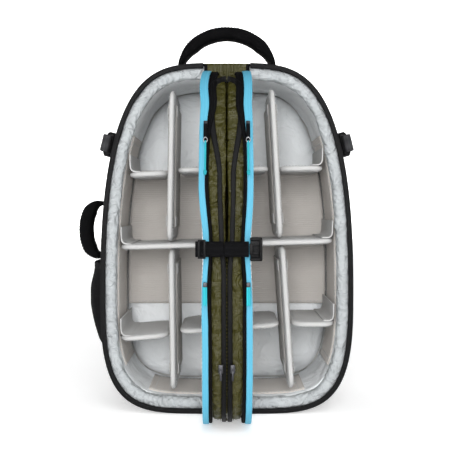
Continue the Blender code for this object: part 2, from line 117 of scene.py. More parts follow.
class Graph:
    """A material's node tree with short ways to add and join nodes."""

    def __init__(self, name: str) -> None:
        """Start a material that holds one Principled shader.

        Args:
            name: the material's name.
        """
        self.material = bpy.data.materials.new(name)
        self.material.use_nodes = True
        self.tree = self.material.node_tree
        self.shader = self.tree.nodes["Principled BSDF"]

    def add(self, kind: str, inputs: dict[str | int, object] | None = None,
            **settings: object) -> bpy.types.Node:
        """Add a node.

        Args:
            kind: Blender's node type, without the ShaderNode prefix.
            inputs: values or output sockets for the node's inputs.
            settings: attributes to set on the node.

        Returns:
            The new node.
        """
        node = self.tree.nodes.new(f"ShaderNode{kind}")
        for key, value in settings.items():
            setattr(node, key, value)
        for key, value in (inputs or {}).items():
            if isinstance(value, Socket):
                self.tree.links.new(value, node.inputs[key])
            else:
                node.inputs[key].default_value = value
        return node

    def math(self, operation: str, first: object, second: object = 0.0, third: object = 0.0) -> Socket:
        """Add a Math node and return its output."""
        return self.add("Math", {0: first, 1: second, 2: third}, operation=operation).outputs[0]

    def mix(self, share: object, first: object, second: object) -> Socket:
        """Add a colour mix and return its output."""
        return self.add("Mix", {0: share, 6: first, 7: second}, data_type="RGBA").outputs[2]

    def noise(self, coords: Socket, scale: float, detail: float = 3.0,
              distortion: float = 0.0) -> Socket:
        """Add a noise texture and return its factor."""
        inputs = {"Vector": coords, "Scale": scale, "Detail": detail, "Distortion": distortion}
        return self.add("TexNoise", inputs).outputs["Fac"]

    def bands(self, coords: Socket, direction: str, pitch: float) -> Socket:
        """Add stripes of the given pitch in metres across one axis and return their factor.

        Args:
            coords: socket that the pattern is read from.
            direction: axis that the stripes are counted along.
            pitch: distance from stripe to stripe, in metres.

        Returns:
            The stripes' factor.
        """
        scale = math.pi / (10.0 * pitch)
        inputs = {"Vector": coords, "Scale": scale}
        return self.add("TexWave", inputs, wave_type="BANDS", bands_direction=direction).outputs["Fac"]

    def bump(self, height: Socket, distance: float, strength: float = 1.0,
             normal: Socket | None = None) -> Socket:
        """Add a bump and return its normal.

        Args:
            height: socket with the height.
            distance: height of the bump in metres.
            strength: how much of the bump shows.
            normal: normal that the bump starts from.

        Returns:
            The normal.
        """
        inputs: dict[str | int, object] = {"Height": height, "Distance": distance, "Strength": strength}
        if normal is not None:
            inputs["Normal"] = normal
        return self.add("Bump", inputs).outputs["Normal"]

    def dress(self, **values: object) -> None:
        """Set or link the shader's inputs, with underscores for the spaces in their names.

        Args:
            **values: values or output sockets, by input name.
        """
        for key, value in values.items():
            socket = self.shader.inputs[key.replace("_", " ")]
            if isinstance(value, Socket):
                self.tree.links.new(value, socket)
            else:
                socket.default_value = value


Colour = tuple[float, float, float]


def shade(colour: Colour, factor: float) -> tuple[float, float, float, float]:
    """A colour made lighter or darker, with full alpha."""
    return (*(min(channel * factor, 1.0) for channel in colour), 1.0)


@dataclass(frozen=True)
class Cloth:
    """Woven cloth: fine threads, uneven colour that on the olive is also painted shade, and soft creases."""

    name: str
    colour: Colour
    roughness: float = 0.8
    pitch: float = 0.0012
    thread: float = 0.00012
    crease: float = 0.0015
    crease_scale: float = 22.0
    mottle: float = 0.10
    sheen: float = 0.05
    gloss: float = 0.3
    fibre: float = 0.0
    ribs: str = "XYZ"

    def make(self) -> bpy.types.Material:
        """Build the material.

        Returns:
            The new material.
        """
        graph = Graph(self.name)
        coords = graph.add("TexCoord").outputs["Object"]
        # Random patches make the colour darker and lighter: uneven colour, and on the olive pocket also
        # painted shade standing in for its dark creases.
        patches = graph.noise(coords, 14.0, 5.0)
        dark, light = shade(self.colour, 1.0 - self.mottle), shade(self.colour, 1.0 + self.mottle)
        colour = graph.mix(patches, dark, light)
        threads = graph.bands(coords, self.ribs[0], self.pitch)
        for axis in self.ribs[1:]:
            threads = graph.math("ADD", threads, graph.bands(coords, axis, self.pitch))
        flecks = graph.noise(coords, 900.0, 2.0)
        woven = graph.math("MULTIPLY", threads, 0.06)
        grey = graph.math("ADD", woven, graph.math("MULTIPLY", flecks, 0.35))
        colour = graph.mix(graph.math("MULTIPLY", grey, 0.30 + self.fibre), colour, shade(self.colour, 0.62))
        creases = graph.noise(coords, self.crease_scale, 3.0, 0.9)
        normal = graph.bump(creases, self.crease * 4.0, 0.8)
        normal = graph.bump(threads, self.thread, 0.8, normal)
        if self.fibre:
            normal = graph.bump(flecks, 0.0006 * self.fibre, 0.9, normal)
        graph.dress(Base_Color=colour, Roughness=self.roughness, Normal=normal, Sheen_Weight=self.sheen,
                    Sheen_Roughness=0.45, Specular_IOR_Level=self.gloss)
        return graph.material


@dataclass(frozen=True)
class Webbing:
    """Ribbed strap whose ribs follow the strap, read from its own map in metres."""

    name: str
    colour: Colour
    rib: float = 0.0022
    depth: float = 0.0004
    roughness: float = 0.75

    def make(self) -> bpy.types.Material:
        """Build the material.

        Returns:
            The new material.
        """
        graph = Graph(self.name)
        coords = graph.add("TexCoord")
        lengthways = graph.bands(coords.outputs["UV"], "Y", self.rib)
        across = graph.bands(coords.outputs["UV"], "X", self.rib * 0.6)
        weave = graph.math("ADD", lengthways, graph.math("MULTIPLY", across, 0.6))
        wear = graph.noise(coords.outputs["Object"], 30.0, 4.0)
        ribbed = graph.math("MULTIPLY", weave, 0.55)
        colour = graph.mix(ribbed, shade(self.colour, 0.55), shade(self.colour, 1.5))
        colour = graph.mix(graph.math("MULTIPLY", wear, 0.3), colour, shade(self.colour, 2.2))
        graph.dress(Base_Color=colour, Roughness=self.roughness, Normal=graph.bump(weave, self.depth, 0.9),
                    Specular_IOR_Level=0.06)
        return graph.material


@dataclass(frozen=True)
class ZipTape:
    """Zip tape with coil teeth along the start of its own map, which is in metres."""

    name: str
    colour: Colour
    coil: Colour
    half: float = 0.0022
    pitch: float = 0.0022

    def make(self) -> bpy.types.Material:
        """Build the material.

        Returns:
            The new material.
        """
        graph = Graph(self.name)
        coords = graph.add("TexCoord")
        parts = graph.add("SeparateXYZ", {0: coords.outputs["UV"]})
        on_coil = graph.math("LESS_THAN", parts.outputs["Y"], self.half)
        teeth = graph.bands(coords.outputs["UV"], "X", self.pitch)
        weave = graph.bands(coords.outputs["UV"], "Y", 0.0011)
        woven = graph.math("MULTIPLY", weave, 0.25)
        tape = graph.mix(woven, shade(self.colour, 1.05), shade(self.colour, 0.72))
        patches = graph.noise(coords.outputs["Object"], 20.0, 3.0)
        tape = graph.mix(graph.math("MULTIPLY", patches, 0.2), tape, shade(self.colour, 0.8))
        coil = graph.mix(teeth, shade(self.coil, 0.6), shade(self.coil, 1.15))
        height = graph.math("MULTIPLY", graph.math("ADD", teeth, 0.8), on_coil)
        height = graph.math("ADD", height, graph.math("MULTIPLY", weave, 0.15))
        graph.dress(Base_Color=graph.mix(on_coil, tape, coil), Roughness=0.55,
                    Normal=graph.bump(height, 0.0006, 0.9), Specular_IOR_Level=0.12)
        return graph.material


@dataclass(frozen=True)
class Moulded:
    """Moulded plastic or cast metal with a fine grain and handling marks."""

    name: str
    colour: Colour
    roughness: float = 0.42
    metallic: float = 0.0
    gloss: float = 0.12
    grain: float = 0.00008

    def make(self) -> bpy.types.Material:
        """Build the material.

        Returns:
            The new material.
        """
        graph = Graph(self.name)
        coords = graph.add("TexCoord").outputs["Object"]
        grain = graph.noise(coords, 1400.0, 2.0)
        marks = graph.noise(coords, 120.0, 5.0, 0.6)
        colour = graph.mix(marks, shade(self.colour, 0.85), shade(self.colour, 1.35))
        rough = graph.math("MULTIPLY_ADD", marks, 0.22, self.roughness - 0.1)
        graph.dress(Base_Color=colour, Metallic=self.metallic, Roughness=rough, Specular_IOR_Level=self.gloss,
                    Normal=graph.bump(grain, self.grain, 0.7))
        return graph.material


class Finish(Enum):
    """Every finish on the bag."""

    SHELL = Cloth("shell nylon", (0.0026, 0.0026, 0.0030), 0.8, pitch=0.0016, thread=0.0003, crease=0.0012,
                  sheen=0.0, gloss=0.06)
    PAD_MESH = Cloth("air mesh", (0.006, 0.006, 0.0066), 0.9, pitch=0.0034, thread=0.0009, crease=0.0006,
                     sheen=0.0, gloss=0.08)
    STRETCH = Cloth("stretch cloth", (0.0038, 0.0038, 0.0044), 0.85, pitch=0.002, thread=0.0003,
                    crease=0.0010, sheen=0.0, gloss=0.06)
    # Painted light: the grey lining is painted lighter than its own grey, to make up for the shade inside the
    # bag.
    LINING = Cloth("grey lining", (0.87, 0.895, 0.91), 0.6, crease=0.0026, crease_scale=26.0, mottle=0.05)
    # Painted shade: the gathered rim is the same grey lining, painted darker to take back the strong front
    # light on it.
    RIM = Cloth("gathered lining", (0.40, 0.42, 0.43), 0.5, crease=0.0030, crease_scale=60.0, mottle=0.06)
    LOOP = Cloth("loop fabric", (0.62, 0.58, 0.54), 0.95, pitch=0.0036, thread=0.0006, crease=0.0004,
                 mottle=0.08, fibre=0.35, sheen=0.2, ribs="Y")
    LOOP_RIBS = Cloth("ribbed loop fabric", (0.58, 0.55, 0.52), 0.95, pitch=0.0034, thread=0.0003,
                      crease=0.0003, mottle=0.08, fibre=0.35, sheen=0.1, ribs="Z")
    DIVIDER = Cloth("divider cloth", (0.48, 0.478, 0.472), 0.85, crease=0.0010, mottle=0.04, fibre=0.1)
    GRIP_TAPE = Cloth("divider loop strip", (0.37, 0.355, 0.335), 0.95, pitch=0.0024, thread=0.0004,
                      crease=0.0003, fibre=0.4, sheen=0.2)
    # The olive's strong mottle is partly uneven colour and partly painted shade for the dark creases of the
    # crinkled pocket.
    OLIVE = Cloth("olive nylon", (0.040, 0.037, 0.0060), 0.42, pitch=0.0022, thread=0.0002, crease=0.0034,
                  crease_scale=46.0, mottle=0.38, sheen=0.0, gloss=0.28)
    WEBBING = Webbing("black webbing", (0.0026, 0.0026, 0.0031))
    BINDING = Webbing("bound edge", (0.0024, 0.0024, 0.0028), rib=0.0014, depth=0.0002)
    TRIM = Webbing("striped webbing", (0.030, 0.030, 0.032), rib=0.0060, depth=0.0003)
    BLUE = ZipTape("blue zip tape", (0.085, 0.335, 0.47), (0.065, 0.28, 0.42))
    POCKET_ZIP = ZipTape("black zip tape", (0.0024, 0.0024, 0.0028), (0.005, 0.005, 0.0056))
    PLASTIC = Moulded("black acetal", (0.0026, 0.0026, 0.0030), 0.42)
    METAL = Moulded("dark plated metal", (0.055, 0.055, 0.06), 0.36, 1.0)
    BRIGHT = Moulded("bright plated metal", (0.34, 0.34, 0.355), 0.28, 1.0)
    CORD = Webbing("blue cord", (0.03, 0.36, 0.42), rib=0.0016, depth=0.0005)
    THREAD = Moulded("grey thread", (0.42, 0.43, 0.44), 0.8)
    DARK_THREAD = Moulded("black thread", (0.045, 0.045, 0.05), 0.8)
    OLIVE_THREAD = Moulded("olive thread", (0.055, 0.050, 0.016), 0.8)

    def material(self) -> bpy.types.Material:
        """The finish's material, made once."""
        return bpy.data.materials.get(self.value.name) or self.value.make()


# ---------------------------------------------------------------- shapes


def sheet(u_steps: int, v_steps: int, place: Place, span: Point2 = (1.0, 1.0)) -> Shape:
    """A grid laid over a surface.

    Args:
        u_steps: faces along u.
        v_steps: faces along v.
        place: the surface's point for u and v between 0 and 1.
        span: the surface's size in metres, for its map.

    Returns:
        A bmesh with a map called cloth.
    """
    shape = bmesh.new()
    layer = shape.loops.layers.uv.new("cloth")
    bmesh.ops.create_grid(shape, x_segments=u_steps, y_segments=v_steps, size=0.5)
    for face in shape.faces:
        for loop in face.loops:
            u, v = loop.vert.co.x + 0.5, loop.vert.co.y + 0.5
            loop[layer].uv = (u * span[0], v * span[1])
    for vert in shape.verts:
        vert.co = place(vert.co.x + 0.5, vert.co.y + 0.5)
    return shape


def sealed(shape: Shape) -> Shape:
    """Close the seams of a wrapped grid and point its faces outwards.

    Args:
        shape: the wrapped grid.

    Returns:
        The same shape, closed.
    """
    bmesh.ops.remove_doubles(shape, verts=shape.verts[:], dist=2e-6)
    bmesh.ops.dissolve_degenerate(shape, edges=shape.edges[:], dist=1e-7)
    bmesh.ops.recalc_face_normals(shape, faces=shape.faces[:])
    return shape


def resample(points: Sequence[Vector], count: int, closed: bool = False) -> list[Vector]:
    """Points spaced evenly along a polyline.

    Args:
        points: the polyline.
        count: how many points to return.
        closed: whether the polyline runs back to its first point.

    Returns:
        The evenly spaced points, without the repeated first one when closed.
    """
    run = [*points, points[0]] if closed else list(points)
    marks = [0.0]
    for before, after in zip(run, run[1:]):
        marks.append(marks[-1] + (after - before).length)
    result: list[Vector] = []
    index = 0
    for step in range(count):
        target = marks[-1] * step / (count if closed else count - 1)
        while index < len(run) - 2 and marks[index + 1] < target:
            index += 1
        gap = marks[index + 1] - marks[index]
        share = 0.0 if gap < 1e-12 else (target - marks[index]) / gap
        result.append(run[index].lerp(run[index + 1], min(max(share, 0.0), 1.0)))
    return result


def path_length(points: Sequence[Vector]) -> float:
    """Length of a polyline."""
    return sum((after - before).length for before, after in zip(points, points[1:]))


def smooth_path(knots: Sequence[Sequence[float]], count: int) -> list[Vector]:
    """A smooth curve through a few knots, evenly resampled.

    Args:
        knots: points that it passes through.
        count: how many points to return.

    Returns:
        The evenly spaced points.
    """
    points = [Vector(knot) for knot in knots]
    dense: list[Vector] = []
    for index in range(len(points) - 1):
        p0, p1 = points[max(index - 1, 0)], points[index]
        p2, p3 = points[index + 1], points[min(index + 2, len(points) - 1)]
        for step in range(12):
            t = step / 12
            dense.append(0.5 * (2 * p1 + (p2 - p0) * t + (2 * p0 - 5 * p1 + 4 * p2 - p3) * t * t
                                + (3 * p1 - p0 - 3 * p2 + p3) * t ** 3))
    return resample([*dense, points[-1]], count)


def signed_power(value: float, power: float) -> float:
    """A power that keeps the sign."""
    return math.copysign(abs(value) ** power, value)


def ribbon(path: Sequence[Vector], wide: Vector | Sequence[Vector], size: Point2 | Callable[[float], Point2],
           sides: int = 16, corner: float = 4.0, closed: bool = False, ripple: Ripple | None = None) -> Shape:
    """A bar with a rounded rectangular section along a path.

    Args:
        path: the bar's middle line.
        wide: direction of the bar's width, one for all or one for each point.
        size: half width and half thickness, or a function that gives them at a share of the length.
        sides: faces round the section.
        corner: 2 for an oval section, more for a squarer one.
        closed: whether the path is a loop.
        ripple: how far a surface point moves outwards, from its place and its two shares.

    Returns:
        The closed bar.
    """
    count = len(path)
    widths = list(wide) if isinstance(wide, (list, tuple)) else [wide] * count
    frames: list[tuple[Vector, Vector]] = []
    for index in range(count):
        after = path[(index + 1) % count] if closed else path[min(index + 1, count - 1)]
        before = path[index - 1] if closed else path[max(index - 1, 0)]
        along = (after - before).normalized()
        across = along.cross(widths[index]).normalized()
        frames.append((across.cross(along).normalized(), across))
    rings = count + 1 if closed else count + 2

    def place(u: float, v: float) -> Vector:
        """Point on the bar's surface.

        Args:
            u: share of the way along the first direction.
            v: share of the way along the second direction.

        Returns:
            The point in space.
        """
        ring = round(u * (rings - 1))
        index = ring % count if closed else min(max(ring - 1, 0), count - 1)
        shrink = 0.0 if not closed and ring in (0, rings - 1) else 1.0
        share = index / count if closed else index / (count - 1)
        half_width, half_thick = size(share) if callable(size) else size
        angle = 2.0 * math.pi * (round(v * sides) % sides) / sides
        side, out = frames[index]
        offset = side * half_width * signed_power(math.cos(angle), 2.0 / corner)
        offset = offset + out * half_thick * signed_power(math.sin(angle), 2.0 / corner)
        if ripple is not None:
            offset = offset * (1.0 + ripple(path[index] + offset, share, angle) / max(offset.length, 1e-4))
        return path[index] + offset * shrink

    perimeter = 4.0 * sum(size(0.5) if callable(size) else size)
    return sealed(sheet(rings - 1, sides, place, (path_length(path), perimeter)))


def pillow(loop: Sequence[Vector], centre: Vector, rows: int, place: PadPlace, edge: float = 0.06) -> Shape:
    """A closed pad inside an outline: two faces that meet round its edge.

    Args:
        loop: the outline, as flat points.
        centre: flat point that the rows run out from.
        rows: rows from the centre to the edge on each face.
        place: the point in space for a flat point, its share of the way out, and its face from -1 to 1.
        edge: share of the way out over which the edge rounds off.

    Returns:
        The closed pad.
    """
    profile: list[Point2] = [((1.0 - edge) * step / rows, 1.0) for step in range(rows)]
    for step in range(7):
        angle = math.pi * step / 6
        profile.append((1.0 - edge + edge * math.sin(angle), math.cos(angle)))
    profile += [(share, -1.0) for share, _ in reversed(profile[:rows])]
    count = len(loop)

    def on_pad(u: float, v: float) -> Vector:
        """Point on the pad's surface.

        Args:
            u: share of the way along the first direction.
            v: share of the way along the second direction.

        Returns:
            The point in space.
        """
        share, face = profile[round(v * (len(profile) - 1))]
        flat = centre.lerp(loop[round(u * count) % count], share)
        return place(flat, share, face)

    return sealed(sheet(count, len(profile) - 1, on_pad, (path_length(loop), 0.2)))


def rounded_block(low: Sequence[float], high: Sequence[float], bevel: float, segments: int = 3) -> Shape:
    """A block with rounded edges between two corners.

    Args:
        low: lowest corner.
        high: highest corner.
        bevel: radius of the rounded edges.
        segments: faces across a rounded edge.

    Returns:
        The closed block.
    """
    shape = bmesh.new()
    middle = (Vector(low) + Vector(high)) / 2
    size = Vector(high) - Vector(low)
    matrix = Matrix.Translation(middle) @ Matrix.Diagonal((abs(size.x), abs(size.y), abs(size.z), 1.0))
    bmesh.ops.create_cube(shape, size=1.0, matrix=matrix)
    bmesh.ops.bevel(shape, geom=shape.edges[:], offset=bevel, segments=segments, profile=0.5, affect="EDGES",
                    material=-1)
    return shape


def block_about(middle: Sequence[float], half: Sequence[float], bevel: float, segments: int = 3) -> Shape:
    """A block with rounded edges, given by its middle and its half sizes."""
    reach = Vector(half)
    return rounded_block(Vector(middle) - reach, Vector(middle) + reach, bevel, segments)


def merged(shapes: Sequence[Shape]) -> Shape:
    """Several shapes in one, as separate shells.

    Args:
        shapes: the shapes to join, which are used up.

    Returns:
        One shape that holds them all.
    """
    whole = bmesh.new()
    whole.loops.layers.uv.new("cloth")
    for shape in shapes:
        mesh = bpy.data.meshes.new("part")
        shape.to_mesh(mesh)
        shape.free()
        whole.from_mesh(mesh)
        bpy.data.meshes.remove(mesh)
    return whole


def stitch_row(path: Sequence[Vector], pitch: float = 0.0055, length: float = 0.0034,
               radius: float = 0.0005) -> Shape:
    """A row of short threads along a path.

    Args:
        path: line that it follows.
        pitch: distance from thread to thread.
        length: length of each thread.
        radius: half thickness of a thread.

    Returns:
        The threads as one shape.
    """
    shape = bmesh.new()
    shape.loops.layers.uv.new("cloth")
    count = max(int(path_length(path) / pitch), 2)
    spots = resample(path, count + 1)
    for before, after in zip(spots, spots[1:]):
        turn = (after - before).to_track_quat("X", "Z").to_matrix().to_4x4()
        slim = Matrix.Diagonal((length / 2, radius, radius, 1.0))
        matrix = Matrix.Translation((before + after) / 2) @ turn @ slim
        bmesh.ops.create_icosphere(shape, subdivisions=1, radius=1.0, matrix=matrix)
    return shape


def crumple(point: Vector, scale: float, sharp: float = 1.0) -> float:
    """Crumpled-cloth height between about -1 and 1.

    Args:
        point: where to read it.
        scale: folds in a metre.
        sharp: how strong the folds are.

    Returns:
        The height of the folds.
    """
    first = 1.0 - 2.2 * abs(noise.noise(point * scale))
    second = 1.0 - 2.2 * abs(noise.noise(point * scale * 2.3 + Vector((3.1, 1.7, 5.3))))
    return sharp * (0.65 * first + 0.35 * second) - 0.3


def bell(value: float, centre: float, width: float) -> float:
    """Smooth bump of height one."""
    return math.exp(-((value - centre) / width) ** 2)


def ease(value: float, low: float, high: float) -> float:
    """Smooth step from 0 at low to 1 at high."""
    share = min(max((value - low) / (high - low), 0.0), 1.0)
    return share * share * (3.0 - 2.0 * share)


def piece(name: str, shape: Shape, finish: Finish, body: str, slot: Slot,
          stands_for: Sequence[str] = (), thickness: float = 0.0, rounds: int = 0) -> bpy.types.Object:
    """Turn a shape into a finished piece of the bag.

    Args:
        name: the piece's name.
        shape: its mesh, in the frame's coordinates.
        finish: its material.
        body: the body that it rides on.
        slot: the record's material slot; not used.
        stands_for: nodes of the frame that it hides.
        thickness: wall thickness given to an open sheet.
        rounds: levels of subdivision.

    Returns:
        The new object.
    """
    mesh = bpy.data.meshes.new(name)
    shape.to_mesh(mesh)
    shape.free()
    mesh.shade_smooth()
    mesh.set_sharp_from_angle(angle=math.radians(50))
    mesh.materials.append(finish.material())
    item = bpy.data.objects.new(name, mesh)
    bpy.context.collection.objects.link(item)
    if thickness:
        wall = item.modifiers.new("wall", "SOLIDIFY")
        wall.thickness = thickness
        wall.offset = 0.0
    if rounds:
        subdivision = item.modifiers.new("rounding", "SUBSURF")
        subdivision.levels = rounds
        subdivision.render_levels = rounds
    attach(item, body)
    if stands_for:
        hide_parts(*stands_for)
    LOG.info("%s rides on %s", name, body)
    return item


# ---------------------------------------------------------------- outline


@dataclass(frozen=True)
class Egg:
    """The bag's outline: widest low down, round at the top and squarer at the foot."""

    half: float
    bottom: float
    top: float
    widest: float = 0.170

    def half_width(self, height: float) -> float:
        """Half width at a height.

        Args:
            height: height above the floor.

        Returns:
            Half of the width there.
        """
        if height >= self.widest:
            rise = min((height - self.widest) / (self.top - self.widest), 1.0)
            return self.half * (1.0 - rise ** 2.4) ** 0.25
        drop = min((self.widest - height) / (self.widest - self.bottom), 1.0)
        return self.half * (1.0 - drop ** 3) ** 0.2

    def dense(self) -> list[Vector]:
        """The outline's right half, from the middle of the foot to the middle of the top.

        Returns:
            The outline's points.
        """
        steps = 80
        points = [Vector((0.0, 0.0, self.bottom))]
        for step in range(1, steps):
            angle = math.pi / 2 * (1.0 - step / steps)
            drop = (self.widest - self.bottom) * math.sin(angle) ** (2 / 3)
            points.append(Vector((self.half * math.cos(angle) ** 0.4, 0.0, self.widest - drop)))
        for step in range(steps):
            angle = math.pi / 2 * step / steps
            rise = (self.top - self.widest) * math.sin(angle) ** (1 / 1.2)
            points.append(Vector((self.half * math.cos(angle) ** 0.5, 0.0, self.widest + rise)))
        return [*points, Vector((0.0, 0.0, self.top))]

    def loop(self, count: int, inset: float = 0.0, depth: float = 0.0) -> list[Vector]:
        """Evenly spaced outline, from the middle of the foot up the right side and round.

        Args:
            count: how many points.
            inset: how far every point moves inwards.
            depth: the loop's place along Y.

        Returns:
            The closed loop.
        """
        right = self.dense()
        left = [Vector((-spot.x, 0.0, spot.z)) for spot in reversed(right[1:-1])]
        spots = resample(right + left, count, closed=True)
        moved: list[Vector] = []
        for index, spot in enumerate(spots):
            along = (spots[(index + 1) % count] - spots[index - 1]).normalized()
            moved.append(spot + Vector((-along.z, 0.0, along.x)) * inset + AXIS_Y * depth)
        return moved

    def right_half(self, count: int, reach: float, inset: float = 0.0) -> list[Vector]:
        """The right half outside a reach, evenly spaced from the lower end to the upper one."""
        half = [point for point in self.loop(720, inset)[:361] if point.x >= reach]
        return resample(half, count)


def inward(loop: Sequence[Vector], closed: bool = True) -> list[Vector]:
    """Inward directions along an outline that runs up the right side.

    Args:
        loop: the outline.
        closed: whether the outline runs back to its first point.

    Returns:
        One direction for each point.
    """
    count = len(loop)
    result: list[Vector] = []
    for index in range(count):
        after = loop[(index + 1) % count] if closed else loop[min(index + 1, count - 1)]
        before = loop[index - 1] if closed else loop[max(index - 1, 0)]
        along = (after - before).normalized()
        result.append(Vector((-along.z, 0.0, along.x)))
    return result


SHELL = Egg(0.182, 0.0, 0.504)
LID = Egg(0.175, 0.002, 0.489)
BACK_Y = 0.090
HINGE_X = 0.0325
HINGE_Y = -0.0905


# ---------------------------------------------------------------- shell


@dataclass
class Shell:
    """Outer skin, bound edges, spine and the gathered rim."""

    front: float = -0.0862
    rear: float = 0.0826
    skin: float = 0.0024
    rim_inset: float = 0.0129
    rim_depth: float = -0.0761
    rim_half: float = 0.0094
    spine_half: float = 0.0312

    def build(self) -> None:
        """Make every piece of the shell."""
        self.build_cover()
        self.build_bindings()
        self.build_rim()
        self.build_spine()
        self.build_back()

    def build_cover(self) -> None:
        """The black wall, slightly slack between its two bound edges."""
        loop = SHELL.loop(200, self.skin / 2)
        normals = inward(loop)

        def place(u: float, v: float) -> Vector:
            """Point on the wall.

            Args:
                u: share of the way along the first direction.
                v: share of the way along the second direction.

            Returns:
                The point in space.
            """
            index = round(u * 200) % 200
            depth = self.front + (self.rear - self.front) * v
            slack = math.sin(math.pi * v)
            spot = loop[index] + AXIS_Y * depth
            low = ease(spot.z, 0.0, 0.03)
            folds = 0.0016 * noise.noise(Vector((spot.x * 14, spot.y * 9, spot.z * 14)))
            return spot - normals[index] * slack * low * (0.0012 + folds)

        piece("shell_cover", sealed(sheet(200, 16, place, (1.4, 0.17))), Finish.SHELL, "shell", Slot.NYLON,
              ["shell_wall"], thickness=self.skin, rounds=1)
        rows = []
        outline = SHELL.loop(200)
        for depth in (self.front + 0.012, self.rear - 0.014):
            ring = [spot + AXIS_Y * depth - inner * 0.0006 for spot, inner in zip(outline, inward(outline))]
            rows.append(stitch_row([*ring, ring[0]], 0.006, 0.004))
        piece("shell_stitches", merged(rows), Finish.DARK_THREAD, "shell", Slot.NYLON)

    def build_bindings(self) -> None:
        """The zip tape round the opening and the piping on the back edge."""
        for side in Side:
            path = SHELL.right_half(150, self.spine_half + 0.0009, 0.0037)
            inner = inward(path, closed=False)
            path = [Vector((side.value * spot.x, -0.0883, spot.z)) for spot in path]
            across = [Vector((side.value * spot.x, 0.0, spot.z)) for spot in inner]
            tape = ribbon(path, across, (0.0037, 0.0017), 20, 5.0)
            piece(f"rim_tape_{side.label}", tape, Finish.POCKET_ZIP, "shell", Slot.WEBBING,
                  [f"rim_zip_{side.label}"])
        loop = SHELL.loop(200, 0.001, self.rear + 0.001)
        piping = ribbon(loop, AXIS_Y, (0.0022, 0.0022), 10, 2.0, closed=True)
        piece("back_piping", piping, Finish.BINDING, "shell", Slot.WEBBING)

    def build_rim(self) -> None:
        """The soft grey rim, gathered by its elastic."""
        loop = SHELL.loop(900, self.rim_inset, self.rim_depth)

        def gathers(point: Vector, share: float, angle: float) -> float:
            """Height of the folds that cross the rim.

            Args:
                point: point on the rim's surface.
                share: share of the way round the bag.
                angle: place round the section, in radians.

            Returns:
                How far the surface moves outwards.
            """
            swirl = 190.0 * share + 2.6 * math.sin(angle) + 5.0 * noise.noise(point * 16.0)
            fold = abs(math.sin(swirl * 1.7)) ** 0.7 * (0.6 + 0.8 * noise.noise(point * 38.0))
            fine = noise.noise(Vector((point.x * 95, point.y * 60, point.z * 95)))
            return 0.0030 * fold + 0.0011 * crumple(point, 30.0, 0.8) + 0.0005 * fine - 0.0020

        roll = ribbon(loop, inward(loop), (self.rim_half, self.rim_half), 26, 2.6, closed=True,
                      ripple=gathers)
        rim = piece("rim_gather", roll, Finish.RIM, "shell", Slot.LINING, ["rim_roll"])
        seam = [spot + AXIS_Y * -0.0865 for spot in SHELL.loop(240, 0.0092)]
        piece("rim_stitches", stitch_row([*seam, seam[0]], 0.006, 0.0038, 0.00045), Finish.THREAD, "shell",
              Slot.LINING)

    def build_spine(self) -> None:
        """The strip between the half lids, folded along its length."""

        def place(u: float, v: float) -> Vector:
            """Point on the strip's cloth.

            Args:
                u: share of the way along the first direction.
                v: share of the way along the second direction.

            Returns:
                The point in space.
            """
            height = 0.0015 + 0.5012 * v
            across = self.spine_half * (2.0 * u - 1.0)
            drift = noise.noise(Vector((across * 30, 0.0, height * 9)))
            folds = 0.0006 * math.sin(across * 900.0 + 5.0 * drift)
            dip = 0.0008 * math.cos(math.pi * (u - 0.5))
            return Vector((across, -0.0886 - dip + folds * math.sin(math.pi * u), height))

        strip = sheet(48, 110, place, (0.064, 0.50))
        piece("spine_cloth", strip, Finish.OLIVE, "shell", Slot.OLIVE, ["spine"], thickness=0.0020)
        for side in Side:
            path = [Vector((side.value * self.spine_half * 0.955, -0.0889, 0.003 + 0.4985 * step / 40))
                    for step in range(41)]
            edge = ribbon(path, AXIS_X, (0.0026, 0.0014), 12, 3.0)
            piece(f"spine_edge_{side.label}", edge, Finish.BINDING, "shell", Slot.WEBBING)

    def build_back(self) -> None:
        """The back of the shell under the harness."""

        def place(flat: Vector, share: float, face: float) -> Vector:
            """Point on the back panel."""
            bulge = 0.0010 * (1.0 - share ** 2) if face > 0 else 0.0
            return Vector((flat.x, 0.0861 + 0.0033 * face + bulge, flat.z))

        panel = pillow(SHELL.loop(160, 0.0006), Vector((0.0, 0.0, 0.24)), 16, place, 0.02)
        piece("back_cover", panel, Finish.SHELL, "shell", Slot.NYLON, ["back_panel"])


# ---------------------------------------------------------------- compartment


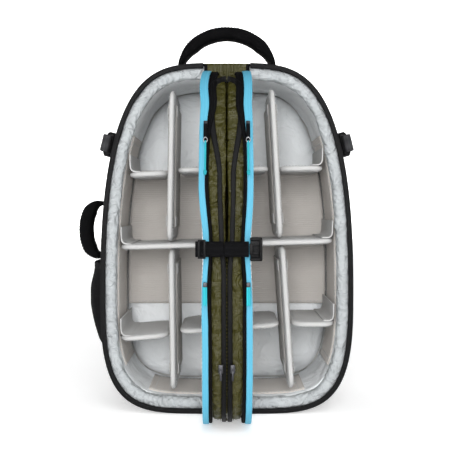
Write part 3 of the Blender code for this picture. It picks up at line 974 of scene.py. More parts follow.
@dataclass
class Compartment:
    """Walls and back of the inside, with the loop panels that dividers stick to."""

    wall_inset: float = 0.0186
    front: float = -0.0680
    back: float = 0.0577
    panel_low: float = 0.142
    panel_high: float = 0.357

    def build(self) -> None:
        """Make every piece of the lining."""
        self.build_walls()
        self.build_loop_walls()
        self.build_back()

    def wall_point(self, spot: Vector, inner: Vector, depth: float) -> Vector:
        """A point of the grey wall, with corner folds.

        Args:
            spot: point of the outline.
            inner: inward direction at that point.
            depth: distance behind the outline.

        Returns:
            The point in space.
        """
        corner = min(abs(spot.x) / 0.16, 1.0) * (bell(spot.z, 0.035, 0.04) + bell(spot.z, 0.455, 0.05))
        fold = 0.0024 * corner * crumple(spot + AXIS_Y * depth, 22.0)
        return spot + AXIS_Y * depth + inner * (fold + 0.0004 * noise.noise(spot * 40.0))

    def build_walls(self) -> None:
        """The grey nylon wall."""
        loop = SHELL.loop(240, self.wall_inset)
        normals = inward(loop)

        def place(u: float, v: float) -> Vector:
            """Point on the wall's cloth.

            Args:
                u: share of the way along the first direction.
                v: share of the way along the second direction.

            Returns:
                The point in space.
            """
            index = round(u * 240) % 240
            depth = self.front + (self.back + 0.002 - self.front) * v
            return self.wall_point(loop[index], normals[index], depth)

        walls = sealed(sheet(240, 24, place, (1.3, 0.13)))
        piece("inner_walls", walls, Finish.LINING, "shell", Slot.LOOP, ["lining_wall"], thickness=0.0020)

    def build_loop_walls(self) -> None:
        """Beige loop panels on both side walls and the floor, with their stitching."""
        spots = SHELL.loop(400, self.wall_inset + 0.0018)
        normals = inward(spots)
        order = [*range(200, 400), *range(200)]
        beside = [i for i in range(400) if abs(spots[i].x) > 0.05 and 0.062 < spots[i].z < 0.405]
        runs = {
            "loop_wall_right": [i for i in beside if spots[i].x > 0.0],
            "loop_wall_left": [i for i in beside if spots[i].x < 0.0],
            "loop_floor": [i for i in order if spots[i].z < 0.1 and abs(spots[i].x) < 0.118],
        }
        for name, run in runs.items():
            near, far = self.front + 0.016, self.back - 0.010

            def place(u: float, v: float, run: list[int] = run) -> Vector:
                """Point on a loop panel."""
                index = run[round(u * (len(run) - 1))]
                return spots[index] + AXIS_Y * (near + (far - near) * v)

            panel = sheet(len(run) - 1, 8, place, (0.34, 0.10))
            piece(name, panel, Finish.LOOP, "shell", Slot.LOOP, thickness=0.0014)
            inside = run[3:-3]
            border = [spots[i] + normals[i] * 0.0009 + AXIS_Y * (near + 0.004) for i in inside]
            border += [spots[i] + normals[i] * 0.0009 + AXIS_Y * (far - 0.004) for i in reversed(inside)]
            piece(f"{name}_stitches", stitch_row([*border, border[0]]), Finish.THREAD, "shell", Slot.LOOP)

    def build_back(self) -> None:
        """The creased grey back and its ribbed loop panel."""

        def place(flat: Vector, share: float, face: float) -> Vector:
            """Point on the back lining.

            Args:
                flat: flat point inside the outline.
                share: share of the way out to the edge.
                face: from -1 on one face to 1 on the other.

            Returns:
                The point in space.
            """
            if face < 0.0:
                return Vector((flat.x, 0.0790, flat.z))
            plain = 1.0 - ease(flat.z, self.panel_low - 0.01, self.panel_low) * (
                1.0 - ease(flat.z, self.panel_high, self.panel_high + 0.01))
            fold = 0.0030 * crumple(Vector((flat.x + flat.z * 0.6, 1.0, flat.z)), 15.0) * plain
            return Vector((flat.x, 0.0590 - fold * (1.0 - share ** 4) + 0.012 * share ** 14, flat.z))

        back = pillow(SHELL.loop(200, 0.0200), Vector((0.0, 0.0, 0.24)), 44, place, 0.03)
        piece("inner_back", back, Finish.LINING, "shell", Slot.LOOP, ["back_lining"])

        def panel(u: float, v: float) -> Vector:
            """Point on the loop panel.

            Args:
                u: share of the way along the first direction.
                v: share of the way along the second direction.

            Returns:
                The point in space.
            """
            height = self.panel_low + (self.panel_high - self.panel_low) * v
            half = SHELL.half_width(height) - 0.0225
            depth = 0.0566 + 0.0004 * noise.noise(Vector((u * 9, 0, v * 6)))
            return Vector((half * (2.0 * u - 1.0), depth, height))

        ribbed = sheet(60, 50, panel, (0.3, 0.2))
        piece("loop_back", ribbed, Finish.LOOP_RIBS, "shell", Slot.LOOP, thickness=0.0016)
        rows = []
        for height in (self.panel_low + 0.004, self.panel_high - 0.004):
            half = SHELL.half_width(height) - 0.026
            rows.append(stitch_row([Vector((-half, 0.0556, height)), Vector((half, 0.0556, height))]))
        piece("loop_back_stitches", merged(rows), Finish.THREAD, "shell", Slot.LOOP)


# ---------------------------------------------------------------- dividers


@dataclass
class Divider:
    """One padded divider between two points, as seen from the front."""

    name: str
    start: Point2
    end: Point2
    body: str
    flaps: tuple[Side, ...] = ()
    front: float = -0.0805
    back: float = 0.0550
    thick: float = 0.0080
    radius: float = 0.0038
    flap: float = 0.026

    def frame(self) -> Matrix:
        """Axes of the divider: X along it, Y into the bag and Z across its thickness.

        Returns:
            The matrix of its place and turn.
        """
        start = Vector((self.start[0], 0.0, self.start[1]))
        end = Vector((self.end[0], 0.0, self.end[1]))
        along = (end - start).normalized()
        middle = (start + end) / 2 + AXIS_Y * (self.front + self.back) / 2
        return Matrix.Translation(middle) @ Matrix((along, AXIS_Y, along.cross(AXIS_Y))).transposed().to_4x4()

    def build(self) -> None:
        """Make the pad, its loop strips, tabs, flaps and stitching."""
        frame = self.frame()
        long = math.dist(self.start, self.end) / 2
        deep = (self.back - self.front) / 2
        half = self.thick / 2
        upright = abs(self.end[1] - self.start[1]) > abs(self.end[0] - self.start[0])
        pad = piece(self.name + "_pad", self.pad_shape(frame, long, deep, half), Finish.DIVIDER, self.body,
                    Slot.DIVIDER, [self.name])
        rows = []
        strips = []
        tabs = []
        for face in (-1.0, 1.0):
            lift = face * (half + 0.0002)
            if upright:
                size = (long - 0.020, deep - 0.013)
                strips.append(self.plate(frame, size, (0.0, 0.011), lift + face * 0.0010, 0.0022))
                for end in (-1.0, 1.0):
                    spot = (end * (long - 0.029), 0.037 - deep)
                    tabs.append(self.plate(frame, (0.0075, 0.016), spot, lift + face * 0.0024, 0.0012))
                    rows.append(self.box_row(frame, (0.0055, 0.0135), spot, lift + face * 0.0031))
            rows.append(self.box_row(frame, (long - 0.007, deep - 0.007), (0.0, 0.0), lift * 1.04))
        if strips:
            piece(self.name + "_strips", merged(strips), Finish.GRIP_TAPE, self.body, Slot.DIVIDER)
        for side in self.flaps:
            tabs.append(self.flap_shape(side))
        if tabs:
            piece(self.name + "_tabs", merged(tabs), Finish.DIVIDER, self.body, Slot.DIVIDER)
        piece(self.name + "_stitches", merged(rows), Finish.THREAD, self.body, Slot.DIVIDER)

    def pad_shape(self, frame: Matrix, long: float, deep: float, half: float) -> Shape:
        """The stuffed pad itself.

        Args:
            frame: the divider's axes.
            long: half length.
            deep: half depth.
            half: half thickness.

        Returns:
            The closed pad.
        """
        corner = min(long, deep, 0.020)
        flat: list[Vector] = []
        for cx, cy, turn in ((1, -1, -90), (1, 1, 0), (-1, 1, 90), (-1, -1, 180)):
            for step in range(7):
                angle = math.radians(turn + 15 * step)
                centre = Vector((cx * (long - corner), cy * (deep - corner), 0.0))
                flat.append(centre + Vector((math.cos(angle), math.sin(angle), 0.0)) * corner)
        loop = resample(flat, 120, closed=True)

        profile: list[tuple[float, float, float]] = [(step / 9, self.radius, 1.0) for step in range(9)]
        for step in range(9):
            angle = math.pi * step / 8
            profile.append((1.0, self.radius * (1.0 - math.sin(angle)), signed_power(math.cos(angle), 0.85)))
        profile += [(share, gap, -face) for share, gap, face in reversed(profile[:9])]

        def on_pad(u: float, v: float) -> Vector:
            """Point on the pad's surface.

            Args:
                u: share of the way along the first direction.
                v: share of the way along the second direction.

            Returns:
                The point in space.
            """
            share, gap, face = profile[round(v * (len(profile) - 1))]
            spot = loop[round(u * 120) % 120]
            x = spot.x * (long - gap) / long * share
            y = spot.y * (deep - gap) / deep * share
            own = self.start[0] * 9 + self.start[1] * 31
            soft = 0.0006 * noise.noise(Vector((x * 26, y * 26, face * 2.0 + own)))
            crown = 0.0005 * (1.0 - share * share)
            return frame @ Vector((x, y, (half * 0.9 + crown) * face + soft * (1.0 - share ** 6)))

        return sealed(sheet(120, len(profile) - 1, on_pad, (0.4, 0.3)))

    def plate(self, frame: Matrix, size: Point2, centre: Point2, lift: float, thick: float) -> Shape:
        """A thin patch on one face of the divider.

        Args:
            frame: the divider's axes.
            size: half length and half depth.
            centre: the patch's middle on the face.
            lift: distance from the divider's middle plane.
            thick: thickness.

        Returns:
            The patch.
        """
        shape = block_about((*centre, lift), (*size, thick / 2), thick * 0.35, 2)
        bmesh.ops.transform(shape, matrix=frame, verts=shape.verts[:])
        return shape

    def box_row(self, frame: Matrix, size: Point2, centre: Point2, lift: float) -> Shape:
        """A rectangle of stitches on one face.

        Args:
            frame: the divider's axes.
            size: half length and half depth.
            centre: the rectangle's middle on the face.
            lift: distance from the divider's middle plane.

        Returns:
            The stitches.
        """
        corners = ((-1, -1), (1, -1), (1, 1), (-1, 1), (-1, -1))
        path = [frame @ Vector((centre[0] + size[0] * a, centre[1] + size[1] * b, lift)) for a, b in corners]
        return stitch_row(path, 0.0045, 0.0030, 0.0004)

    def flap_shape(self, side: Side) -> Shape:
        """The sewn-on flap that turns up against the side wall.

        Args:
            side: the end that carries the flap.

        Returns:
            The flap.
        """
        end, height = self.start if side is Side.LEFT else self.end
        level = height + self.thick / 2 + 0.0008
        turns = ((0.016, 0.0), (0.006, 0.0004), (0.0020, 0.005), (0.0012, 0.015),
                 (0.0012, self.flap - 0.0015))
        middle = (self.front + self.back) / 2
        path = smooth_path([(end - side.value * x, middle + 0.002, level + z) for x, z in turns], 18)
        deep = (self.back - self.front) / 2 - 0.004
        return ribbon(path, AXIS_Y, (deep, 0.0010), 28, 12.0)


def build_dividers() -> None:
    """Make all eleven dividers, each where the frame holds its node."""
    uprights = {"divider_upper_left": (-0.083, -0.079), "divider_upper_right": (0.0775, 0.0650),
                "divider_lower_left": (-0.0780, -0.0805), "divider_lower_right": (0.0945, 0.0805)}
    for name, (foot, head) in uprights.items():
        low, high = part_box(name)
        Divider(name, (foot, low[2]), (head, high[2]), name).build()
    shelves = {"long_divider": ("shell", (Side.LEFT, Side.RIGHT), 0.030),
               "shelf_upper_left": ("shelf_upper_left", (Side.LEFT,), 0.046),
               "shelf_upper_middle": ("shelf_upper_middle", (), 0.0144),
               "shelf_upper_right": ("shelf_upper_right", (Side.RIGHT,), 0.012),
               "shelf_lower_left": ("shelf_lower_left", (Side.LEFT,), 0.087),
               "shelf_lower_middle": ("shelf_lower_middle", (), 0.0658),
               "shelf_lower_right": ("shelf_lower_right", (Side.RIGHT,), 0.0)}
    for name, (body, flaps, slope) in shelves.items():
        low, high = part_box(name)
        inset = 0.0032 if name.endswith("middle") else 0.0
        first = low[2] + 0.004
        last = first + slope * (high[0] - low[0])
        Divider(name, (low[0] + inset, first), (high[0] - inset, last), body, flaps).build()


# ---------------------------------------------------------------- half lids


@dataclass
class Lid:
    """One half lid, folded out: padded panel, crinkled pocket, blue and black zips."""

    side: Side
    panel: Point2 = (0.0005, 0.0098)
    pocket: Point2 = (0.0120, 0.0308)
    pinch: float = 0.0030
    flare: float = 0.0062
    spread: float = 0.0030

    @property
    def body(self) -> str:
        """The body that the lid's pieces ride on."""
        return f"wing_{self.side.label}"

    def lean(self, height: float) -> float:
        """How far the free edge leans outwards at a height.

        Args:
            height: height above the floor.

        Returns:
            The distance outwards.
        """
        outer = self.side is Side.LEFT
        flare = self.flare * bell(height, 0.466, 0.024) * (1.0 if outer else 0.5)
        spread = self.spread * ease(height, 0.265, 0.330) * (1.35 if outer else 0.6)
        foot = (-0.0012 if outer else 0.0006) * (1.0 - ease(height, 0.10, 0.22))
        dent = 0.0016 * bell(height, 0.432, 0.014)
        return flare + spread + foot - dent - self.pinch * bell(height, 0.240, 0.038)

    def at(self, reach: float, height: float, depth: float) -> Vector:
        """Point of the folded-out lid.

        Args:
            reach: distance from the bag's middle when the lid is closed.
            height: height above the floor.
            depth: distance from the lining face towards the pocket.

        Returns:
            The point in space.
        """
        share = min(max((reach - HINGE_X) / (LID.half - HINGE_X), 0.0), 1.0)
        outer = min(max((HINGE_X - depth) / 0.018, 0.0), 1.0)
        across = HINGE_X - depth + self.lean(height) * share * share * outer
        return Vector((self.side.value * max(across, 0.0003), HINGE_Y - (reach - HINGE_X), height))

    def edge(self, count: int, inset: float, depth: Callable[[float], float]) -> list[Vector]:
        """Line along the free edge at a depth that follows the height."""
        half = LID.right_half(count, HINGE_X + 0.0004, inset)
        return [self.at(spot.x, spot.z, depth(spot.z)) for spot in half]

    def pocket_depth(self, height: float) -> float:
        """Depth of the pocket's zip, which swings out and meets the other one at the top.

        Args:
            height: height above the floor.

        Returns:
            The depth from the lining face.
        """
        low = 0.0249 + 0.0036 * (1.0 - ease(height, 0.205, 0.262))
        fork = 0.0106 * ease(height, 0.335, 0.425)
        arch = math.sqrt(max(1.0 - max((height - 0.4465) / 0.0225, 0.0) ** 2, 0.0))
        return HINGE_X - (HINGE_X - low + fork) * arch

    def build(self) -> None:
        """Make every piece of the lid."""
        self.build_panel()
        self.build_pocket()
        self.build_tapes()
        self.build_pocket_zip()

    def build_panel(self) -> None:
        """The padded panel with its light lining outwards."""
        half = LID.right_half(150, HINGE_X + 0.0003, 0.0030)
        low, high = self.panel

        def place(flat: Vector, share: float, face: float) -> Vector:
            """Point on the panel.

            Args:
                flat: flat point inside the outline.
                share: share of the way out to the edge.
                face: from -1 on one face to 1 on the other.

            Returns:
                The point in space.
            """
            middle, thick = (low + high) / 2, (high - low) / 2
            quilt = 0.0008 * noise.noise(flat * 30.0) + 0.0005 * crumple(flat, 18.0)
            dome = 0.0012 * (1.0 - share ** 3) if face < 0 else 0.0
            depth = middle + thick * face - dome + quilt * (1.0 - share ** 8)
            return self.at(flat.x, flat.z, max(depth, -0.0009))

        pad = pillow(half, Vector((HINGE_X + 0.07, 0.0, 0.235)), 24, place, 0.035)
        panel = piece(f"lid_panel_{self.side.label}", pad, Finish.LINING, self.body, Slot.LINING,
                      [f"wing_panel_{self.side.label}"])
        seam = [self.at(spot.x, spot.z, -0.0002) for spot in LID.right_half(160, HINGE_X + 0.010, 0.013)]
        stitches = stitch_row([*seam, seam[0]])
        piece(f"lid_seam_{self.side.label}", stitches, Finish.THREAD, self.body, Slot.LINING)

    def build_pocket(self) -> None:
        """The crinkled nylon pocket."""
        half = LID.right_half(260, HINGE_X + 0.0003, 0.0058)
        low, high = self.pocket

        def place(flat: Vector, share: float, face: float) -> Vector:
            """Point on the pocket.

            Args:
                flat: flat point inside the outline.
                share: share of the way out to the edge.
                face: from -1 on one face to 1 on the other.

            Returns:
                The point in space.
            """
            middle, thick = (low + high) / 2, (high - low) / 2
            upper = ease(flat.z, 0.30, 0.36) if face > 0 else 0.0
            front = 0.0012 * upper * (1.0 - ease(flat.z, 0.472, 0.486))
            gusset = 1.0 - min(abs(face), 1.0)
            pleat = math.sin(flat.z * 520.0 + 7.0 * noise.noise(flat * 22.0))
            crease = 0.0012 * crumple(flat + AXIS_Y * face * 0.02, 42.0) + 0.0005 * pleat * gusset
            swell = 0.0021 * crumple(flat + AXIS_Y * face * 0.03, 62.0) - 0.0008 + 0.0006 * pleat
            reach = flat.x + swell * ease(share, 0.88, 0.97)
            dent = abs(crease) * (0.7 if face > 0 else 0.21)
            depth = middle + (thick + front) * signed_power(face, 0.6 - 0.38 * upper) - dent
            return self.at(reach, flat.z, min(depth, 0.0321))

        pad = pillow(half, Vector((HINGE_X + 0.07, 0.0, 0.235)), 40, place, 0.05)
        pocket = piece(f"lid_pocket_{self.side.label}", pad, Finish.OLIVE, self.body, Slot.OLIVE,
                       [f"wing_pocket_{self.side.label}"])

    def build_tapes(self) -> None:
        """Blue tape and black binding round the free edge."""
        label = self.side.label

        def blue_half(height: float) -> float:
            """Half width of the blue tape.

            Args:
                height: height above the floor.

            Returns:
                Half of the width.
            """
            narrow = 1.0 - ease(height, 0.36, 0.45)
            waist = bell(height, 0.215, 0.035)
            return 0.0056 - 0.0016 * narrow - 0.0009 * waist

        last = 219
        spots = LID.right_half(last + 1, HINGE_X + 0.0004, 0.0016)
        heights = [spot.z for spot in spots]
        path = [self.at(spot.x, spot.z, 0.0003 + blue_half(spot.z)) for spot in spots]
        tape = ribbon(path, AXIS_X, lambda share: (blue_half(heights[round(share * last)]), 0.0016), 20, 4.5,
                      ripple=lambda point, share, angle: 0.0003 * noise.noise(point * 45.0))
        piece(f"blue_zip_{label}", tape, Finish.BLUE, self.body, Slot.BLUE, [f"wing_zip_{label}"])

        def bound_half(height: float) -> float:
            """Half width of the black binding beside the blue tape."""
            return 0.0023 + 0.0028 * ease(height, 0.380, 0.440)

        spots = LID.right_half(last + 1, HINGE_X + 0.0004, 0.0030)
        levels = [spot.z for spot in spots]
        depths = [0.0003 + 2 * blue_half(level) + bound_half(level) for level in levels]
        path = [self.at(spot.x, spot.z, depth) for spot, depth in zip(spots, depths)]
        binding = ribbon(path, AXIS_X, lambda share: (bound_half(levels[round(share * last)]), 0.0018),
                         14, 3.0)
        piece(f"lid_binding_{label}", binding, Finish.BINDING, self.body, Slot.WEBBING)

    def build_pocket_zip(self) -> None:
        """The pocket's black zip, which arches over to the other lid's at the top, and its stitches."""
        label = self.side.label
        path = [spot for spot in self.edge(1200, 0.0046, self.pocket_depth) if spot.z < 0.4689]
        path = resample([*path, Vector((self.side.value * 0.0006, path[-1].y, 0.4691))], 300)
        facing = Vector((0.0, 1.0, 0.35))
        flat = [facing.cross(after - before).normalized() * -self.side.value if before.z > 0.446 else AXIS_X
                for before, after in zip([path[0], *path], [*path[1:], path[-1]])]
        flat = [(near + here + after).normalized() if (near.dot(here) > 0 and after.dot(here) > 0) else here
                for near, here, after in zip([flat[0], *flat], flat, [*flat[1:], flat[-1]])]
        zipper = ribbon(path, flat, lambda share: (0.0031 + 0.0013 * ease(share, 0.72, 0.92), 0.0018), 18,
                        ripple=lambda point, share, angle: 0.0003 * noise.noise(point * 60.0))
        piece(f"pocket_tape_{label}", zipper, Finish.POCKET_ZIP, self.body, Slot.WEBBING,
              [f"pocket_zip_{label}"])
        rows = []
        for depth in (0.0046, -0.0046):
            line = self.edge(200, 0.0046, lambda z, shift=depth: self.pocket_depth(z) + shift)
            rows.append(stitch_row([spot for spot in line[6:] if spot.z < 0.44], 0.0048, 0.0030, 0.0004))
        piece(f"pocket_stitches_{label}", merged(rows), Finish.OLIVE_THREAD, self.body, Slot.OLIVE)


# ---------------------------------------------------------------- clasp


@dataclass
class Clasp:
    """Webbing and side-release clasp that hold the half lids together."""

    def build(self) -> None:
        """Make the sewn part, the swinging part, the ladder bar and the clasp."""
        low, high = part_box("hold_strap")
        level = (low.z + high.z) / 2
        half = (high.z - low.z) / 2 - 0.0003
        front = low.y + 0.0007
        swing = ((low.x + 0.0003, 0.0), (0.0, -0.0004), (0.014, -0.0002), (high.x - 0.0002, 0.0))
        sewn_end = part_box("strap_anchor")[0].x
        anchor = ((sewn_end + 0.0035, 0.0030), (sewn_end + 0.0015, 0.0014), (-0.037, -0.0002),
                  (-0.030, -0.0004), (-0.018, 0.0), (-0.0043, 0.0))
        fold = ((-0.0306, 0.0078), (-0.0308, 0.0036), (-0.0285, 0.0014), (-0.0180, 0.0015))
        for name, knots, body, stands_for in (("clasp_strap", swing, "clasp_strap", ["hold_strap"]),
                                              ("clasp_anchor", anchor, "wing_left", ["strap_anchor"]),
                                              ("clasp_fold", fold, "wing_left", [])):
            path = smooth_path([(x, front + back, level) for x, back in knots], 40)
            webbing = ribbon(path, AXIS_Z, (half, 0.00062), 20, 6.0)
            piece(name, webbing, Finish.WEBBING, body, Slot.WEBBING, stands_for)
        bars = [block_about((x, front - 0.0013, level), (0.0014, 0.0009, half + 0.0018), 0.0007)
                for x in (-0.0345, -0.0275)]
        bars += [block_about((-0.0310, front - 0.0006, level + sign * (half + 0.0010)),
                             (0.0049, 0.0012, 0.0011), 0.0007) for sign in (-1.0, 1.0)]
        piece("ladder_bar", merged(bars), Finish.PLASTIC, "wing_left", Slot.PLASTIC)
        self.build_tongue(level)
        self.build_cradle(level)

    def build_tongue(self, level: float) -> None:
        """The clasp's male part with its two prongs.

        Args:
            level: height of the strap's middle.
        """
        low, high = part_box("buckle_tongue")
        middle = (low.y + high.y) / 2
        thick = (high.y - low.y) / 2
        parts = [rounded_block((low.x, low.y, low.z), (low.x + 0.0050, high.y, high.z), 0.0010)]
        for offset in (-0.0052, 0.0052):
            parts.append(rounded_block((low.x + 0.004, middle - thick * 0.7, level + offset - 0.0016),
                                       (high.x, middle + thick * 0.7, level + offset + 0.0016), 0.0008))
        parts.append(rounded_block((low.x + 0.004, middle - thick * 0.6, level - 0.0010),
                                   (high.x - 0.002, middle + thick * 0.6, level + 0.0010), 0.0005))
        piece("clasp_tongue", merged(parts), Finish.PLASTIC, "clasp_strap", Slot.PLASTIC, ["buckle_tongue"])

    def build_cradle(self, level: float) -> None:
        """The clasp's female part with its stem to the lid.

        Args:
            level: height of the strap's middle.
        """
        low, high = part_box("buckle_cradle")
        front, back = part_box("buckle_tongue")[0].y - 0.0008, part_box("buckle_tongue")[1].y + 0.0012
        parts = []
        for sign in (-1.0, 1.0):
            edge = level + sign * 0.0125
            parts.append(rounded_block((low.x, front, edge - 0.0022), (high.x, back, edge + 0.0022), 0.0016))
        parts.append(rounded_block((high.x - 0.0036, front - 0.0004, level - 0.0135),
                                   (high.x, back, level + 0.0135), 0.0014))
        parts.append(rounded_block((low.x + 0.0004, back - 0.0014, level - 0.0120),
                                   (high.x - 0.001, back, level + 0.0120), 0.0005))
        for offset in (-0.0045, 0.0, 0.0045):
            parts.append(rounded_block((high.x - 0.0030, front - 0.0010, level + offset - 0.0007),
                                       (high.x - 0.0006, front - 0.0002, level + offset + 0.0007), 0.0003))
        parts.append(rounded_block((low.x, back - 0.0012, level - 0.006),
                                   (low.x + 0.004, high.y, level + 0.006), 0.0008))
        piece("clasp_cradle", merged(parts), Finish.PLASTIC, "wing_right", Slot.PLASTIC, ["buckle_cradle"])


# ---------------------------------------------------------------- zip sliders and pulls


@dataclass
class Puller:
    """A zip slider with its hinged pull, and a ring and cord on the upper ones.

    An upper pull hangs along the tape, which leans by the angle hang, and turns about hinge, whose
    values are its Y and its Z.
    """

    level: str
    side: Side
    hang: float = math.radians(20.0358)
    across: float = 0.027
    hinge: Point2 = (-0.212286, 0.404614)
    reach: float = 0.0243
    cord: float = 0.045
    sway: float = 0.004

    def build(self) -> None:
        """Make the slider, the pull and, on the upper ones, the ring and cord."""
        name = f"{self.level}_{self.side.label}"
        low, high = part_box(f"zip_slider_{name}")
        middle = (low + high) / 2
        lean = self.hang if self.level == "upper" else 0.0
        down = Vector((0.0, -math.sin(lean), -math.cos(lean)))
        out = Vector((0.0, down.z, -down.y))
        axes = Matrix((AXIS_X, down, out)).transposed().to_4x4()
        body = rounded_block((-0.0026, -0.0052, -0.0011), (0.0026, 0.0052, 0.0011), 0.0009)
        bridge = rounded_block((-0.0010, -0.0034, 0.0006), (0.0010, 0.0034, 0.0017), 0.0005)
        slider = merged([body, bridge])
        bmesh.ops.transform(slider, matrix=Matrix.Translation(middle) @ axes, verts=slider.verts[:])
        piece(f"slider_{name}", slider, Finish.METAL, f"slider_{name}", Slot.METAL, [f"zip_slider_{name}"])
        low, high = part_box(f"zip_pull_{name}")
        top_y = high.y if self.level == "upper" else (low.y + high.y) / 2
        start = Vector(((low.x + high.x) / 2, top_y, high.z)) + down * 0.0006
        length = math.hypot(high.y - low.y, high.z - low.z)
        path = [start + down * (length - 0.0012) * step / 12 for step in range(13)]
        strap = ribbon(path, AXIS_X, (0.0026, 0.00075), 16, 5.0)
        if self.level == "lower":
            piece(f"pull_{name}", strap, Finish.CORD, f"pull_{name}", Slot.CORD, [f"zip_pull_{name}"])
            return
        piece(f"pull_{name}", strap, Finish.WEBBING, f"pull_{name}", Slot.WEBBING, [f"zip_pull_{name}"])
        self.build_cord(name, down, out)

    def build_cord(self, name: str, down: Vector, out: Vector) -> None:
        """The bright ring and the blue cord below it.

        Args:
            name: level and side, as in the node names.
            down: direction that the pull hangs in.
            out: direction away from the slider.
        """
        exit_point = Vector((self.side.value * self.across, *self.hinge)) + down * self.reach

        def on_cord(share: float) -> Vector:
            """Point of the hanging cord at a share of its length."""
            return exit_point + down * self.cord * share - AXIS_Y * self.sway * share * share

        centre = exit_point - down * 0.0016
        ring = [centre + (AXIS_X * math.cos(turn) * 0.0024 + down * math.sin(turn) * 0.0034)
                for turn in (2.0 * math.pi * step / 28 for step in range(28))]
        hoop = ribbon(ring, out, (0.0007, 0.0007), 10, 2.0, closed=True)
        body = f"pull_{name}"
        piece(f"ring_{name}", hoop, Finish.BRIGHT, body, Slot.METAL)
        route = [on_cord(step / 18) for step in range(19)]
        tube = ribbon(route, AXIS_X, (0.0012, 0.0012), 12, 2.0)
        line = piece(f"cord_{name}", tube, Finish.CORD, body, Slot.CORD, [f"pull_cord_{self.side.label}"])
        knots = []
        for share, radius in ((0.93, 0.0023), (0.985, 0.0020)):
            ball = bmesh.new()
            ball.loops.layers.uv.new("cloth")
            spot = Matrix.Translation(on_cord(share))
            bmesh.ops.create_icosphere(ball, subdivisions=3, radius=radius, matrix=spot)
            knots.append(ball)
        knot = piece(f"knot_{name}", merged(knots), Finish.CORD, body, Slot.CORD)
        path_length(route)
        [tuple(point) for point in route]


def build_pocket_slider(side: Side) -> None:
    """The small slider of an outer pocket's zip.

    Args:
        side: which side of the bag.
    """
    low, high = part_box(f"pocket_slider_{side.label}")
    body = rounded_block(low, high, 0.0008)
    tab = rounded_block((low.x + 0.0018, low.y - 0.0016, low.z - 0.009),
                        (high.x - 0.0018, low.y - 0.0004, low.z + 0.004), 0.0005)
    node = f"pocket_slider_{side.label}"
    piece(f"pocket_pull_{side.label}", merged([body, tab]), Finish.METAL, node, Slot.METAL, [node])


# ---------------------------------------------------------------- handles


@dataclass
class Grip:
    """A padded carrying handle on an arch, with its sewn ends."""

    name: str
    node: str
    body: str
    centre: Vector
    along: Vector
    up: Vector
    half: float
    rise: float
    round: float = 1.15

    def path(self) -> list[Vector]:
        """The arch's middle line.

        Returns:
            Evenly spaced points.
        """
        points: list[Vector] = []
        for step in range(61):
            angle = math.pi * step / 60
            run = -math.cos(angle) * self.half
            lift = self.rise * max(math.sin(angle), 0.0) ** self.round
            points.append(self.centre + self.along * run + self.up * lift)
        return resample(points, 61)

    def build(self) -> None:
        """Make the padded tube and its stitches."""

        def size(share: float) -> Point2:
            """Half width and half thickness along the handle.

            Args:
                share: share of the way along.

            Returns:
                Half width and half thickness.
            """
            full = min(min(share, 1.0 - share) / 0.22, 1.0) ** 1.3
            foot = ease(min(share, 1.0 - share), 0.0, 0.10)
            return (0.0062 + 0.0080 * foot, 0.0030 + 0.0010 * foot + 0.0064 * full)

        path = self.path()
        tube = ribbon(path, AXIS_Y, size, 24, 2.8,
                      ripple=lambda point, share, angle: 0.0006 * noise.noise(point * 60.0))
        grip = piece(self.name, tube, Finish.SHELL, self.body, Slot.WEBBING, [self.node])
        rows = []
        for offset in (-0.0085, 0.0085):
            line = []
            for index in range(8, 53):
                normal = (path[index + 1] - path[index - 1]).normalized().cross(AXIS_Y)
                outwards = normal if normal.dot(path[index] - self.centre) > 0 else -normal
                line.append(path[index] + AXIS_Y * offset + outwards * size(index / 60)[1] * 0.92)
            rows.append(stitch_row(line, 0.005, 0.0032, 0.0004))
        piece(self.name + "_stitches", merged(rows), Finish.DARK_THREAD, self.body, Slot.WEBBING)


def build_handles() -> None:
    """Top handle, side handle and their sewn patches on the shell."""
    top_seat, side_seat = Vector((0.0, 0.020, 0.5085)), Vector((-0.1875, -0.020, 0.264))
    Grip("top_grip_tube", "top_handle", "top_grip", top_seat, AXIS_X, AXIS_Z, 0.074, 0.060).build()
    Grip("side_grip_tube", "side_handle", "side_grip", side_seat, AXIS_Z, -AXIS_X, 0.040, 0.026, 0.8).build()
    patches = []
    for x in (-0.074, 0.074):
        top = SHELL.top - 0.0045
        drape = ((0.80, 0.0042), (0.95, 0.0030), (1.10, -0.0005))
        knots = [(x * share, 0.020, top + lift) for share, lift in drape]
        patches.append(ribbon(smooth_path(knots, 14), AXIS_Y, (0.0135, 0.0011), 14, 5.0))
    for z in (0.222, 0.306):
        wall = -SHELL.half_width(z) - 0.0006
        knots = [(wall, -0.020, z - 0.012), (wall - 0.0006, -0.020, z), (wall, -0.020, z + 0.012)]
        patches.append(ribbon(smooth_path(knots, 12), AXIS_Y, (0.0135, 0.0010), 14, 5.0))
    piece("handle_patches", merged(patches), Finish.WEBBING, "shell", Slot.WEBBING)


# ---------------------------------------------------------------- outside


